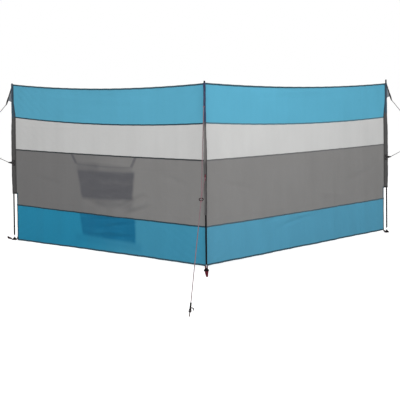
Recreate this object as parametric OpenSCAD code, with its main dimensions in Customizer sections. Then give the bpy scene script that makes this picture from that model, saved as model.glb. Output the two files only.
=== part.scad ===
// Beach windbreak: two striped bays on three poles, set up in a V and held by guy ropes.
// Millimetres, +Z up. The origin is on the ground under the centre pole, which is the point
// of the V. The bays run back to +Y on both sides, and their hollow side faces +Y.

/* [Layout] */
// Distance between the two end poles
spread_w = 3660; // [2800:10:4200]
// Distance from the centre pole back to the line of the end poles
spread_d = 1520; // [1200:10:2000]

/* [Poles] */
// Height of a pole's tip above the cloth's top edge
pole_over = 20; // [14:1:60]
// Outer diameter of a pole
pole_d = 12; // [11:0.5:16]
// Wall of the pole's tube
pole_wall = 1.6; // [1:0.1:2]
// Height of a pole's lower end above the ground
pole_low = 50; // [35:1:70]

/* [Feet] */
// Diameter of the foot disc
foot_d = 44; // [36:1:50]
// Height of the foot disc
foot_h = 10; // [6:1:14]
// Diameter of the foot's hub where it rises from the disc
hub_d = 28; // [18:1:30]
// Height of the hub
hub_h = 14; // [6:1:18]
// Diameter of the steel pin that enters the pole
pin_d = 5; // [4:0.5:6]
// Length of the pin inside the pole
pin_grip = 60; // [30:5:100]
// Width of the foot strap
strap_w = 25; // [20:1:40]
// Thickness of webbing
strap_t = 2; // [1.5:0.1:3]
// Length of the free tail past the left pole
left_tail_l = 105; // [50:1:140]
// Height of that tail's end above the ground
left_tail_rise = 17; // [10:1:60]
// Length of the flat tail in front of the centre pole
centre_tail_l = 205; // [80:1:240]
// Length of the flat tail past the right pole
right_tail_l = 40; // [30:1:140]
// Width of a tail's tip
tail_tip_w = 9; // [6:1:20]

/* [Cloth] */
// Thickness of the cloth panels
cloth_t = 2; // [1.5:0.1:3]
// Height of the cloth's lower edge at the poles
cloth_low = 30; // [20:1:33]
// Height of the light blue top stripe
top_stripe_h = 315; // [250:1:320]
// Height of the white stripe
white_stripe_h = 305; // [250:1:310]
// Height of the grey stripe
grey_stripe_h = 535; // [450:1:540]
// Height of the blue lower stripe
low_stripe_h = 315; // [250:1:320]
// Sag of the top edge in the middle of a bay
top_sag = 46; // [0:1:80]
// Sag of the seam under the top stripe
upper_seam_sag = 34; // [0:1:60]
// Sag of the seam under the white stripe
middle_seam_sag = 8; // [0:1:40]
// Sag of the seam under the grey stripe
lower_seam_sag = 6; // [0:1:30]
// Width of the hems
hem_w = 14; // [8:1:20]
// Width of the tapes over the seams
seam_w = 12; // [6:1:20]
// Thickness of hems and seam tapes
hem_t = 3.4; // [3:0.1:4.5]

/* [Sleeves] */
// Distance from the pole's axis to the sleeve's seam
sleeve_w = 46; // [36:1:60]
// The same distance at the narrow head of an end sleeve
sleeve_head_w = 20; // [16:1:34]
// Length of that narrow head, down from the cloth's top edge
sleeve_head_l = 170; // [100:5:230]
// Height of the sleeve's lower end
sleeve_low = 450; // [400:5:520]
// Thickness of the sleeve's cloth
sleeve_t = 1.5; // [1:0.1:2]

/* [Guys] */
// Diameter of the guy rope
rope_d = 6; // [4:0.5:8]
// Diameter of the rope's knots
knot_d = 14; // [10:0.5:18]
// Length of the eye at the rope's lower end
eye_l = 64; // [40:1:80]
// Drop from the cloth's top edge to the guy patch's top corner
patch_gap = 10; // [0:1:30]
// Height of the guy patch along the sleeve
patch_h = 155; // [120:1:165]
// Reach of the patch's strap from the pole's axis
patch_reach = 92; // [70:1:110]
// Drop of the patch's strap from its top corner to its loop
patch_drop = 165; // [150:1:190]
// Length of the patch's strap past the net
patch_free = 32; // [25:1:45]
// Height of the middle tab
tab_z = 750; // [650:5:850]
// Length of the middle tab
tab_l = 36; // [20:1:50]
// Distance of the centre guy's ring from its pole
centre_ring_x = 400; // [300:5:600]
// Height of the centre guy's ring
centre_ring_z = 630; // [500:5:900]
// Distance of the centre peg from its pole
centre_peg_x = 1285; // [1000:5:1800]
// Turn of the centre guy towards the left bay, in degrees
centre_guy_turn = 6; // [0:0.5:20]
// Distance of an end guy's ring from its pole
end_ring_x = 630; // [450:5:750]
// Height of an end guy's ring
end_ring_z = 890; // [700:5:1000]
// Distance of an end peg from its pole
end_peg_x = 1620; // [1200:5:2000]
// Radius of a ring, to the middle of its wire
ring_r = 15; // [13:0.5:20]
// Diameter of a ring's wire
ring_wire = 7; // [3:0.5:8]

/* [Pegs] */
// Diameter of the peg's wire
peg_d = 7; // [5:0.5:9]
// Length of the peg's shaft above the ground
peg_l = 54; // [44:1:120]
// Lean of the peg away from the pole, in degrees
peg_lean = 16; // [0:1:30]
// Lean of the peg towards the side of its hook, in degrees
peg_side = 9; // [0:1:15]
// Radius of the peg's hook, to the middle of its wire
hook_r = 11; // [10:0.5:16]
// Distance of the rope's eye below the top of the shaft
eye_drop = 15; // [12:1:30]

/* [Pockets] */
// Distance from the centre seam to the near end of the bag
bag_u = 795; // [500:5:900]
// Length of the bag and of the pocket under it
bag_l = 680; // [400:5:800]
// Height of the bag's lower edge
bag_z = 500; // [440:5:560]
// Height of the bag
bag_h = 275; // [150:5:290]
// Depth of the bag at its mouth
bag_d = 42; // [30:1:80]
// Spread of the bag's straps at the seam, beyond each end of the bag
strap_spread = 30; // [0:1:60]
// Distance from the centre seam to the near end of the lower pocket
pocket_u = 760; // [500:5:900]
// Height of the lower pocket's lower edge
pocket_z = 125; // [60:5:180]
// Depth of the lower pocket at its mouth
pocket_d = 20; // [15:1:40]

/* [Hidden] */
SIDES = ["left", "centre", "right"];
BAYS = ["left", "right"];
POLE_PIECES = ["pole", "foot", "foot_pin", "foot_strap", "sleeve", "guy_patch", "guy_tabs",
    "guy_rope", "guy_ring", "peg"];
BAY_PIECES = ["top_stripe", "white_stripe", "grey_stripe", "low_stripe", "seams", "hems"];
NODES = [
    for (side = SIDES) for (piece = POLE_PIECES) str(side, "_", piece),
    for (bay = BAYS) for (piece = BAY_PIECES) str(bay, "_", piece),
    "rear_bag", "rear_bag_straps", "rear_pocket"
];
node = "all";

$fn = 48;
clear = 0.3;
joint = 0.1;
half_w = spread_w / 2;
bay_d = spread_d - sleeve_w;
bay_l = norm([half_w, bay_d]);
bay_turn = atan2(bay_d, half_w);

// Heights of the cloth's five lines at the poles, from the top edge to the lower edge
line_z = [
    cloth_low + low_stripe_h + grey_stripe_h + white_stripe_h + top_stripe_h,
    cloth_low + low_stripe_h + grey_stripe_h + white_stripe_h,
    cloth_low + low_stripe_h + grey_stripe_h,
    cloth_low + low_stripe_h,
    cloth_low
];
line_sag = [top_sag, upper_seam_sag, middle_seam_sag, lower_seam_sag, 0];
line_steps = 24;
cloth_top = line_z[0];
pole_h = cloth_top + pole_over;
patch_top = cloth_top - patch_gap;

// Edges of a bay, measured along it from the seam at the centre pole
bay_start = cloth_t / 2 * max(tan(bay_turn), 1 / tan(bay_turn)) + clear;
bay_end = bay_l - sleeve_w;
bay_end_top = bay_l - sleeve_head_w;
hem_in = bay_end - hem_w;

// Heights between which an end sleeve narrows to its head
taper_z = line_at(1, bay_end) + seam_w / 2;
head_z = cloth_top - sleeve_head_l;

sleeve_slack = 1;
sleeve_r = pole_d / 2 + sleeve_slack + sleeve_t;
sleeve_lap = 5;
seam_strip_d = 12;
tail_t = cloth_t + 2 * sleeve_t;
pin_collar_h = 4;
pole_tip_h = 10;
pole_tip_solid = 60;

foot_floor = 3;
foot_draft = 4;
hub_wall = 4.5;

peg_hold = peg_l - eye_drop;
hook_end_l = 5;
loop_gap = 0.9;
loop_r = peg_d / 2 + rope_d / 2 + loop_gap;
tab_h = 20;
tab_tip_h = 10;
bag_wall = 2;
bag_taper = 0.45;

// Height of one of the cloth's lines at a distance along the bay
function line_at(k, u) = line_z[k] - line_sag[k] * 4 * (u / bay_l) * (1 - u / bay_l);

// Points along one of the cloth's lines, moved up by rise
function line_points(k, rise, from, to) = [
    for (i = [0 : line_steps])
        let (u = from + (to - from) * i / line_steps) [u, line_at(k, u) + rise]
];

function backwards(list) = [for (i = [len(list) - 1 : -1 : 0]) list[i]];

function unit(v) = v / norm(v);

// Places children at a pole: +X points away from the cloth, +Z up
module at_pole(i) {
    foot = [[-half_w, spread_d], [0, 0], [half_w, spread_d]][i];
    turn = [180 - bay_turn, -90, bay_turn][i];
    translate([foot.x, foot.y, 0]) rotate([0, 0, turn]) children();
}

// Places children in the vertical plane of a guy: X away from the pole, Y up, Z across
module in_guy_plane(i) {
    rotate([0, 0, i == 1 ? -centre_guy_turn : 0]) rotate([90, 0, 0]) children();
}

// Places children along a bay: X from the centre seam to the end pole, +Y to the rear, +Z up
module on_bay(i) {
    mirror([i == 0 ? 1 : 0, 0, 0])
        translate([0, sleeve_w, 0])
            rotate([0, 0, bay_turn]) children();
}

// Turns +X from one point towards another, in a plane
module along(from, to) {
    translate([from.x, from.y, 0])
        rotate([0, 0, atan2(to.y - from.y, to.x - from.x)]) children();
}

module strand(from, to) {
    along(from, to) rotate([0, 90, 0]) cylinder(d = rope_d, h = norm(to - from));
}

// Solid through rings of points that have the same count
module loft(rings) {
    n = len(rings[0]);
    last = len(rings) - 1;
    sides = [
        for (r = [0 : last - 1]) for (i = [0 : n - 1])
            let (j = (i + 1) % n) each [
                [r * n + i, (r + 1) * n + i, r * n + j],
                [r * n + j, (r + 1) * n + i, (r + 1) * n + j]
            ]
    ];
    lower_cap = [for (i = [0 : n - 1]) i];
    upper_cap = [for (i = [n - 1 : -1 : 0]) last * n + i];
    polyhedron([for (ring = rings) each ring], concat(sides, [lower_cap, upper_cap]));
}

module pole() {
    bore_r = pole_d / 2 - pole_wall;
    color("#1c1c1e")
        rotate_extrude() polygon([
            [bore_r, pole_low],
            [pole_d / 2, pole_low],
            [pole_d / 2, pole_h - pole_tip_h],
            [pole_d / 4, pole_h],
            [0, pole_h],
            [0, pole_h - pole_tip_solid],
            [bore_r, pole_h - pole_tip_solid]
        ]);
}

module foot() {
    top_z = foot_h + hub_h;
    color("#202022") translate([0, 0, strap_t]) rotate_extrude() polygon([
        [0, 0],
        [foot_d / 2, 0],
        [(foot_d - foot_draft) / 2, foot_h],
        [hub_d / 2, foot_h],
        [pin_d / 2 + hub_wall, top_z],
        [pin_d / 2, top_z],
        [pin_d / 2, foot_floor],
        [0, foot_floor]
    ]);
}

module foot_pin() {
    pin_z = strap_t + foot_floor;
    color("#b9bcc0") {
        translate([0, 0, pin_z]) cylinder(d = pin_d, h = pole_low + pin_grip - pin_z);
        translate([0, 0, pole_low - pin_collar_h]) cylinder(d = pole_d - 1, h = pin_collar_h);
    }
}

// Webbing that lies under the foot, rises to the cloth's corner and ends in a free tail,
// which curls up at the left pole and lies flat at the others
module foot_strap(i) {
    flat = foot_d / 2 + strap_t;
    seat = sleeve_w + hem_w;
    tail_l = [left_tail_l, centre_tail_l, right_tail_l][i];
    curl = i == 0 ? [[(flat + tail_l) / 2, strap_t + left_tail_rise / 4]] : [];
    tail_z = i == 0 ? left_tail_rise : strap_t;
    top = concat(
        [[-seat, cloth_low], [-sleeve_w, cloth_low], [-flat, strap_t], [flat, strap_t]],
        curl,
        [[tail_l, tail_z]]
    );
    bottom = [for (p = top) [p.x, p.y - strap_t]];
    color("#5e1f2a") intersection() {
        rotate([90, 0, 0])
            linear_extrude(strap_w, center = true) polygon(concat(top, backwards(bottom)));
        linear_extrude(cloth_low + left_tail_rise) polygon([
            [-seat, -strap_w / 2],
            [flat, -strap_w / 2],
            [tail_l, -tail_tip_w / 2],
            [tail_l, tail_tip_w / 2],
            [flat, strap_w / 2],
            [-seat, strap_w / 2]
        ]);
    }
}

// Outline of the sleeve around the pole, with a flat tail towards the cloth
function sleeve_outline(r, tail, tail_half) = concat(
    [for (a = [-110 : 11 : 110]) [r * cos(a), r * sin(a)]],
    [[-tail, tail_half], [-tail, -tail_half]]
);

function sleeve_ring(r, tail, tail_half, z) = [
    for (p = sleeve_outline(r, tail, tail_half)) [p.x, p.y, z]
];

// Sleeve's form: straight at the centre pole, narrower at the top at an end pole
module sleeve_solid(r, tail_cut, tail_half, head_w, over) {
    low_z = sleeve_low - over;
    high_z = cloth_top + over;
    tail = sleeve_w - tail_cut;
    if (head_w < sleeve_w)
        loft([
            sleeve_ring(r, tail, tail_half, low_z),
            sleeve_ring(r, tail, tail_half, taper_z),
            sleeve_ring(r, head_w - tail_cut, tail_half, head_z),
            sleeve_ring(r, head_w - tail_cut, tail_half, high_z)
        ]);
    else
        translate([0, 0, low_z])
            linear_extrude(high_z - low_z) polygon(sleeve_outline(r, tail, tail_half));
}

module sleeve(i) {
    at_centre = i == 1;
    head_w = at_centre ? sleeve_w : sleeve_head_w;
    color("#545456") {
        difference() {
            sleeve_solid(sleeve_r, 0, tail_t / 2, head_w, 0);
            sleeve_solid(sleeve_r - sleeve_t, sleeve_lap, tail_t / 2 - sleeve_t, head_w, 1);
        }
        if (at_centre)
            translate([-sleeve_w, -tail_t / 2, cloth_low])
                cube([seam_strip_d, tail_t, sleeve_low - clear - cloth_low]);
    }
}

// Directions and corners of the guy patch, in the plane of the guy
patch_corner = [sleeve_r + clear, patch_top];
patch_loop = [patch_reach, patch_top - patch_drop];
patch_dir = unit(patch_loop - patch_corner);
patch_strap_w = 12;

// Point on the inner edge of the patch's strap, at a distance along it
function patch_inner(s) = patch_corner + s * patch_dir + patch_strap_w * [patch_dir.y, -patch_dir.x];

module guy_patch() {
    meet = -patch_strap_w * patch_dir.y / patch_dir.x;
    color("#4c4c4e") linear_extrude(cloth_t, center = true) polygon([
        patch_inner(meet),
        [patch_corner.x, patch_top - patch_h],
        patch_inner(norm(patch_loop - patch_corner) - patch_free)
    ]);
}

// Strap along the patch's outer edge and the tab in the middle of the sleeve
module guy_tabs() {
    strap_l = norm(patch_loop - patch_corner);
    color("#222224") {
        linear_extrude(hem_t, center = true) intersection() {
            along(patch_corner, patch_loop)
                translate([-patch_strap_w, -patch_strap_w])
                    square([strap_l + patch_strap_w, patch_strap_w]);
            translate([patch_corner.x, patch_loop.y - patch_strap_w])
                square([patch_reach, patch_drop + patch_strap_w]);
        }
        linear_extrude(strap_t, center = true) translate([patch_corner.x, tab_z]) polygon([
            [0, -tab_h / 2],
            [tab_l, -tab_tip_h / 2],
            [tab_l, tab_tip_h / 2],
            [0, tab_h / 2]
        ]);
    }
}

// Middles of the knots at the patch's strap and at the middle tab
function rope_top() = patch_loop + patch_strap_w / 2 * [patch_dir.y, -patch_dir.x]
    + (knot_d / 2 + clear) * patch_dir;
function rope_middle() = [patch_corner.x + tab_l + knot_d / 2 + clear, tab_z];

function ring_at(i) = i == 1 ? [centre_ring_x, centre_ring_z] : [end_ring_x, end_ring_z];
function peg_at(i) = [i == 1 ? centre_peg_x : end_peg_x, 0];
peg_dir = [sin(peg_lean), cos(peg_lean)];
function hold_at(i) = peg_at(i) + peg_hold * peg_dir;
function guy_dir(i) = unit(hold_at(i) - ring_at(i));

// Angle on a circle of radius r about c where a line from p touches it, on the chosen side
function touch_angle(c, r, p, side) = atan2(p.y - c.y, p.x - c.x) + side * acos(r / norm(p - c));

// Strand between two knots, or between a knot and a bend
module knotted_strand(from, to, far_knot) {
    run = unit(to - from);
    for (p = far_knot ? [from, to] : [from]) translate([p.x, p.y, 0]) sphere(d = knot_d);
    reach = knot_d / 2 + joint;
    strand(from + reach * run, to - (far_knot ? reach : joint) * run);
}

// Bridle from the patch through the ring to the middle tab, then the line to the peg
module guy_rope(i) {
    bend_r = ring_wire / 2 + rope_d / 2 + clear;
    rim = ring_at(i) - ring_r * guy_dir(i);
    upper = touch_angle(rim, bend_r, rope_top(), -1);
    wrap = (upper - touch_angle(rim, bend_r, rope_middle(), 1) + 720) % 360;
    lower = upper - wrap;
    line_start = ring_at(i) + (ring_r + ring_wire / 2 + knot_d / 2 + clear) * guy_dir(i);
    line_end = hold_at(i) - eye_l * guy_dir(i);
    color("#a39a98") {
        knotted_strand(rope_top(), rim + bend_r * [cos(upper), sin(upper)], false);
        translate([rim.x, rim.y, 0]) rotate([0, 0, lower])
            rotate_extrude(angle = wrap) translate([bend_r, 0]) circle(d = rope_d);
        knotted_strand(rope_middle(), rim + bend_r * [cos(lower), sin(lower)], false);
        knotted_strand(line_start, line_end, true);
        eye(i);
    }
}

// Eye around the peg: two legs from the last knot and the turn behind the peg
module eye(i) {
    leg_in = loop_r - rope_d / 2 - clear;
    leg = eye_l - sqrt(max(0, pow(knot_d / 2, 2) - pow(leg_in, 2)));
    along(hold_at(i), hold_at(i) + guy_dir(i)) {
        for (side = [-1, 1])
            translate([-leg, 0, side * loop_r]) rotate([0, 90, 0]) cylinder(d = rope_d, h = leg - joint);
        rotate([90, 0, 0]) rotate([0, 0, -90])
            rotate_extrude(angle = 180) translate([loop_r, 0]) circle(d = rope_d);
    }
}

// Ring that runs on the bridle
module guy_ring(i) {
    color("#2a2a2c") along(ring_at(i), hold_at(i)) rotate([90, 0, 0])
        rotate_extrude() translate([ring_r, 0]) circle(d = ring_wire);
}

// Bent wire peg, cut off level with the ground, with its hook turned out of the guy's plane
module peg(i) {
    hold = hold_at(i);
    color("#7d6f6e") difference() {
        translate([hold.x, hold.y, 0]) rotate([-peg_side, 0, 0])
            along([0, 0], peg_dir) rotate([90, 0, 0]) translate([-peg_hold, 0, 0]) {
                translate([-peg_d, 0, 0]) rotate([0, 90, 0]) cylinder(d = peg_d, h = peg_l + peg_d);
                translate([peg_l, -hook_r, 0]) rotate([0, 0, -90])
                    rotate_extrude(angle = 180) translate([hook_r, 0]) circle(d = peg_d);
                translate([peg_l - hook_end_l, -2 * hook_r, 0])
                    rotate([0, 90, 0]) cylinder(d = peg_d, h = hook_end_l);
            }
        translate([peg_at(i).x, -peg_l]) cube(2 * peg_l, center = true);
    }
}

// Sheet between two of the cloth's lines: low and high are [line, rise, outer end]
module band(low, high, thick, step = []) {
    rotate([90, 0, 0]) linear_extrude(thick, center = true) polygon(concat(
        line_points(low[0], low[1], bay_start, low[2]),
        step,
        backwards(line_points(high[0], high[1], bay_start, high[2]))
    ));
}

module top_stripe() {
    neck = [[bay_end_top, head_z]];
    color("#62abc4") band([1, seam_w / 2, bay_end], [0, -hem_w, bay_end_top], cloth_t, neck);
}

module white_stripe() {
    color("#cacac9") band([2, seam_w / 2, bay_end], [1, -seam_w / 2, bay_end], cloth_t);
}

module grey_stripe() {
    notch = [[hem_in, sleeve_low], [bay_end, sleeve_low]];
    color("#80807f") band([3, seam_w / 2, hem_in], [2, -seam_w / 2, bay_end], cloth_t, notch);
}

module low_stripe() {
    color("#4a90b0") band([4, hem_w, hem_in], [3, -seam_w / 2, hem_in], cloth_t);
}

module seams() {
    color("#4b585c") for (k = [1 : 3]) {
        end = k == 3 ? hem_in : bay_end;
        band([k, -seam_w / 2, end], [k, seam_w / 2, end], hem_t);
    }
}

module hems() {
    side_low = cloth_low + hem_w + clear;
    color("#46606a") {
        band([0, -hem_w, bay_end_top], [0, 0, bay_end_top], hem_t);
        band([4, 0, bay_end], [4, hem_w, bay_end], hem_t);
        translate([hem_in, -hem_t / 2, side_low]) cube([hem_w, hem_t, sleeve_low - side_low]);
    }
}

// Open pouch behind the cloth, shallower at its lower edge
module pouch(u, z, height, depth) {
    back = hem_t / 2 + clear;
    low_d = depth * bag_taper;
    translate([u, back, z]) difference() {
        rotate([90, 0, 90]) linear_extrude(bag_l)
            polygon([[0, 0], [low_d, 0], [depth, height], [0, height]]);
        translate([bag_wall, 0, 0]) rotate([90, 0, 90]) linear_extrude(bag_l - 2 * bag_wall)
            polygon([
                [bag_wall, bag_wall],
                [low_d - bag_wall, bag_wall],
                [depth - bag_wall, height + 1],
                [bag_wall, height + 1]
            ]);
    }
}

module rear_bag() {
    color("#55555c") pouch(bag_u, bag_z, bag_h, bag_d);
}

module rear_pocket() {
    color("#2c5f74") pouch(pocket_u, pocket_z, line_at(3, bag_u) - seam_w - pocket_z, pocket_d);
}

// Two straps from the seam over the bag, drawing in to the bag's upper corners
module rear_bag_straps() {
    mouth_z = bag_z + bag_h;
    seam_z = line_at(2, bag_u) + seam_w / 2;
    color("#2f2f33") for (end = [[bag_u, -strap_spread], [bag_u + bag_l - strap_w, strap_spread]])
        translate([0, hem_t / 2 + strap_t, 0]) rotate([90, 0, 0])
            linear_extrude(strap_t) polygon([
                [end[0], mouth_z],
                [end[0] + strap_w, mouth_z],
                [end[0] + strap_w + end[1], seam_z],
                [end[0] + end[1], seam_z]
            ]);
}

function wanted(name) = node == "all" || node == name;

for (i = [0 : 2]) at_pole(i) {
    if (wanted(str(SIDES[i], "_pole"))) pole();
    if (wanted(str(SIDES[i], "_foot"))) foot();
    if (wanted(str(SIDES[i], "_foot_pin"))) foot_pin();
    if (wanted(str(SIDES[i], "_foot_strap"))) foot_strap(i);
    if (wanted(str(SIDES[i], "_sleeve"))) sleeve(i);
    if (wanted(str(SIDES[i], "_guy_patch"))) in_guy_plane(i) guy_patch();
    if (wanted(str(SIDES[i], "_guy_tabs"))) in_guy_plane(i) guy_tabs();
    if (wanted(str(SIDES[i], "_guy_rope"))) in_guy_plane(i) guy_rope(i);
    if (wanted(str(SIDES[i], "_guy_ring"))) in_guy_plane(i) guy_ring(i);
    if (wanted(str(SIDES[i], "_peg"))) in_guy_plane(i) peg(i);
}

for (i = [0 : 1]) on_bay(i) {
    if (wanted(str(BAYS[i], "_top_stripe"))) top_stripe();
    if (wanted(str(BAYS[i], "_white_stripe"))) white_stripe();
    if (wanted(str(BAYS[i], "_grey_stripe"))) grey_stripe();
    if (wanted(str(BAYS[i], "_low_stripe"))) low_stripe();
    if (wanted(str(BAYS[i], "_seams"))) seams();
    if (wanted(str(BAYS[i], "_hems"))) hems();
}

if (wanted("rear_bag")) on_bay(0) rear_bag();
if (wanted("rear_bag_straps")) on_bay(0) rear_bag_straps();
if (wanted("rear_pocket")) on_bay(0) rear_pocket();
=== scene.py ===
"""Looks of a beach windbreak: striped cloth on three poles, with sleeves, guys, pegs and rear pockets.

Everything is in metres in the frame of the CAD model: the centre pole stands at the origin, the
bays run back to +Y on both sides and +Z is up.
"""

import math
from typing import NamedTuple

import bmesh
import bpy
from bpy.props import FloatProperty, FloatVectorProperty, PointerProperty
from mathutils import Matrix, Vector


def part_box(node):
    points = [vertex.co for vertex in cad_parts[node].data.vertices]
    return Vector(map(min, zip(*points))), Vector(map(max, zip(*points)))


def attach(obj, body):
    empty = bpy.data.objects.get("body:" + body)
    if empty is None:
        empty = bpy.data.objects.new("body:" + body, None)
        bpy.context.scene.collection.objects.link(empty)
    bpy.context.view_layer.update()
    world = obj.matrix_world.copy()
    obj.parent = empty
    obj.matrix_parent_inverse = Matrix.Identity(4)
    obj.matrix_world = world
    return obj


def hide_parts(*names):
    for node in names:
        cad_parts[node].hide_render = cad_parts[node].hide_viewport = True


bl_info = {
    "name": "Beach windbreak",
    "version": (1, 0, 0),
    "blender": (4, 5, 0),
    "location": "3D View > Sidebar > Windbreak",
    "description": "Builds the cloth, sleeves, guys, fittings and stage of a beach windbreak",
    "category": "Object",
}

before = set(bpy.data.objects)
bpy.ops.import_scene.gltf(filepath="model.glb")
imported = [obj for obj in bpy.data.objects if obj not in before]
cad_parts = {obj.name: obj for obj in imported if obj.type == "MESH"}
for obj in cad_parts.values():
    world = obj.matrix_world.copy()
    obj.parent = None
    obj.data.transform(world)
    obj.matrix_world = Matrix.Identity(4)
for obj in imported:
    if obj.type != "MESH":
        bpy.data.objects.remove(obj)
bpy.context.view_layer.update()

SIDES = ("left", "centre", "right")
BAYS = ("left", "right")
UP = Vector((0, 0, 1))
CLOTH_MAP = "cloth"


def srgb(red, green, blue):
    """Linear colour of a display colour given from 0 to 255."""

    def channel(value):
        value /= 255
        return value / 12.92 if value <= 0.04045 else ((value + 0.055) / 1.055) ** 2.4

    return channel(red), channel(green), channel(blue)


def node_middle(name):
    low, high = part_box(name)
    return (low + high) / 2


def on_ground(point):
    return Vector((point.x, point.y, 0))


FEET = {side: on_ground(node_middle(side + "_pole")) for side in SIDES}
CENTRE_SEAM = Vector((0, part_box("centre_sleeve")[1].y, 0))
SLEEVE_W = CENTRE_SEAM.y
SLEEVE_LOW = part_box("left_sleeve")[0].z
TAPE_HALF = 0.006

# Heights between which the centre sleeve is loose and painted lighter as its lit side, a painted highlight,
# and above which every sleeve has its darker head.
LIT_LOOSE_LOW, LIT_LOOSE_HIGH = 0.88, 1.16
HEAD_FROM = 1.19

# Lines of a bay from the top down; a stripe has the number of the line above it.
TOP_EDGE, UPPER_SEAM, MIDDLE_SEAM, LOWER_SEAM, LOWER_EDGE = range(5)

# How far a guy draws an end sleeve outwards, and how far a sleeve's face stands off the CAD's pole.
SLEEVE_PULL = 0.010
SLEEVE_STAND = 0.0028

# Free tail of each foot strap, as distances from the pole and heights. Its end is how many times broader the
# strap gets past the foot, and the width of its tip.
FOOT_TAILS = {
    "left": ((0.0645, 0.0055), (0.105, 0.016)),
    "centre": ((0.205, 0.001),),
    "right": ((0.040, 0.001),),
}
TAIL_ENDS = {"left": (1.2, 0.025), "centre": (1.28, 0.015), "right": (1.0, 0.009)}

PEG_LEAN = math.radians(16)
PIN_BORE, PIN_REACH = 0.0088, 0.065
RING_R, RING_WIRE = 0.015, 0.007

# Hanging bag and low pocket: their length, where they start along the bay, the heights of fold and mouth, and
# their depth. The pocket's mouth lies under the lower seam.
POUCH_LENGTH = 0.680
BAG_NEAR, BAG_LOW, BAG_HIGH, BAG_DEPTH = 0.795, 0.500, 0.775, 0.042
POCKET_NEAR, POCKET_LOW, POCKET_DEPTH = 0.760, 0.125, 0.020

# Where the map of a rope's whipped stretch starts; the map of the rest lies above zero.
WHIPPED = -2.0

# Pitches of the patterns in the materials, in metres, and strands around a rope.
TAPE_RIB, WEBBING_RIB, NET_PITCH = 0.0014, 0.0022, 0.017
BRAID_PITCH, BRAID_STRANDS, FLECK_PITCH = 0.0045, 4, 0.021

# Box of stitches that holds a tab: its middle across the sleeve's map, its half sizes, and the share of them
# that a row of stitches takes.
BOX_ACROSS, BOX_HALF_W, BOX_HALF_H = 0.030, 0.020, 0.026
BOX_ROW = 0.26


def seam_over(stripe):
    """Height of the seam over a stripe, at the middle of its tape."""
    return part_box(stripe)[1].z + TAPE_HALF


def length_setting(label, about, value):
    return FloatProperty(name=label, description=about, default=value, min=0, unit="LENGTH")


def colour_setting(label, about, value):
    return FloatVectorProperty(
        name=label, description=about, default=value, size=3, min=0, max=1, subtype="COLOR"
    )


def power_setting(label, value):
    about = f"Power of the {label.lower()} light in watts"
    return FloatProperty(name=label, description=about, default=value, min=0)


class WindbreakCloth(bpy.types.PropertyGroup):
    """Lines, folds and colours of the two bays and their sleeves."""

    top_edge: length_setting("Top edge", "Height of the top edge at the poles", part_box("right_hems")[1].z)
    upper_seam: length_setting("Upper seam", "Seam under the top stripe", seam_over("right_white_stripe"))
    middle_seam: length_setting("Middle seam", "Seam under the white stripe", seam_over("right_grey_stripe"))
    lower_seam: length_setting("Lower seam", "Seam under the grey stripe", seam_over("right_low_stripe"))
    lower_edge: length_setting("Lower edge", "Height of the lower edge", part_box("right_hems")[0].z)
    top_sag: length_setting("Top sag", "Sag of the top edge in the middle of a bay", 0.046)
    upper_sag: length_setting("Upper sag", "Sag of the upper seam", 0.034)
    middle_sag: length_setting("Middle sag", "Sag of the middle seam", 0.008)
    lower_sag: length_setting("Lower sag", "Sag of the lower seam", 0.006)
    hem_width: length_setting("Hem width", "Width of the folded hems", 0.014)
    head_width: length_setting("Sleeve head", "Width of an end sleeve at its narrow head", 0.020)
    head_length: length_setting("Head length", "Length of that narrow head", 0.170)
    belly: length_setting("Belly", "How far a bay bulges to the rear in its middle", 0.010)
    cloth_thickness: length_setting("Cloth thickness", "Thickness of the striped cloth", 0.0008)
    light_blue: colour_setting("Light blue", "Cloth of the top stripe", srgb(88, 165, 193))
    white: colour_setting("White", "Cloth of the second stripe", srgb(197, 197, 196))
    grey: colour_setting("Grey", "Cloth of the third stripe", srgb(128, 127, 126))
    blue: colour_setting("Blue", "Cloth of the low stripe", srgb(62, 141, 171))
    # Painted light and shade: the right bay's low stripe and tapes are paler, lit copies of the left bay's,
    # whose tapes are darker, shaded copies.
    pale_blue: colour_setting("Pale blue", "Paler low stripe of the right bay", srgb(80, 148, 176))
    tape: colour_setting("Seam tape", "Tape over the left bay's middle seam", srgb(56, 57, 58))
    blue_tape: colour_setting("Blue tape", "Tape over the left bay's upper and lower seams", srgb(38, 62, 72))
    pale_tape: colour_setting("Pale tape", "Paler tape over the right bay's middle seam", srgb(106, 106, 105))
    pale_blue_tape: colour_setting("Pale blue tape", "Tape over the right upper seam", srgb(78, 114, 127))
    low_blue_tape: colour_setting("Low blue tape", "Tape over the right lower seam", srgb(72, 92, 101))
    hem: colour_setting("Hem", "Folded edge of the cloth", srgb(48, 76, 88))
    sleeve: colour_setting("Sleeve", "Cloth of the pole sleeves", srgb(80, 79, 79))
    sleeve_head: colour_setting("Sleeve head colour", "Darker heads of the end sleeves", srgb(58, 78, 92))
    centre_head: colour_setting("Centre head", "Head of the centre sleeve", srgb(46, 60, 86))
    net: colour_setting("Net", "Net of the end guy patches", srgb(104, 110, 116))
    centre_net: colour_setting("Centre net", "Net of the centre guy patch", srgb(50, 58, 84))
    # Painted highlight: the loose stretch of the centre sleeve is painted lighter as its lit side.
    loose_sleeve: colour_setting("Loose sleeve", "Loose stretch of the centre sleeve", srgb(112, 109, 108))
    bag: colour_setting("Bag", "Cloth of the hanging bag", srgb(70, 70, 76))
    # Painted shade: the bag shade and pocket shade colours are the cloth where the bag and pocket behind it
    # cast their shade.
    bag_shade: colour_setting("Bag shade", "Grey cloth with the bag behind it", srgb(92, 92, 96))
    pocket: colour_setting("Pocket", "Cloth of the low pocket", srgb(46, 112, 140))
    pocket_shade: colour_setting("Pocket shade", "Blue cloth with the pocket behind it", srgb(22, 108, 145))


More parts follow.
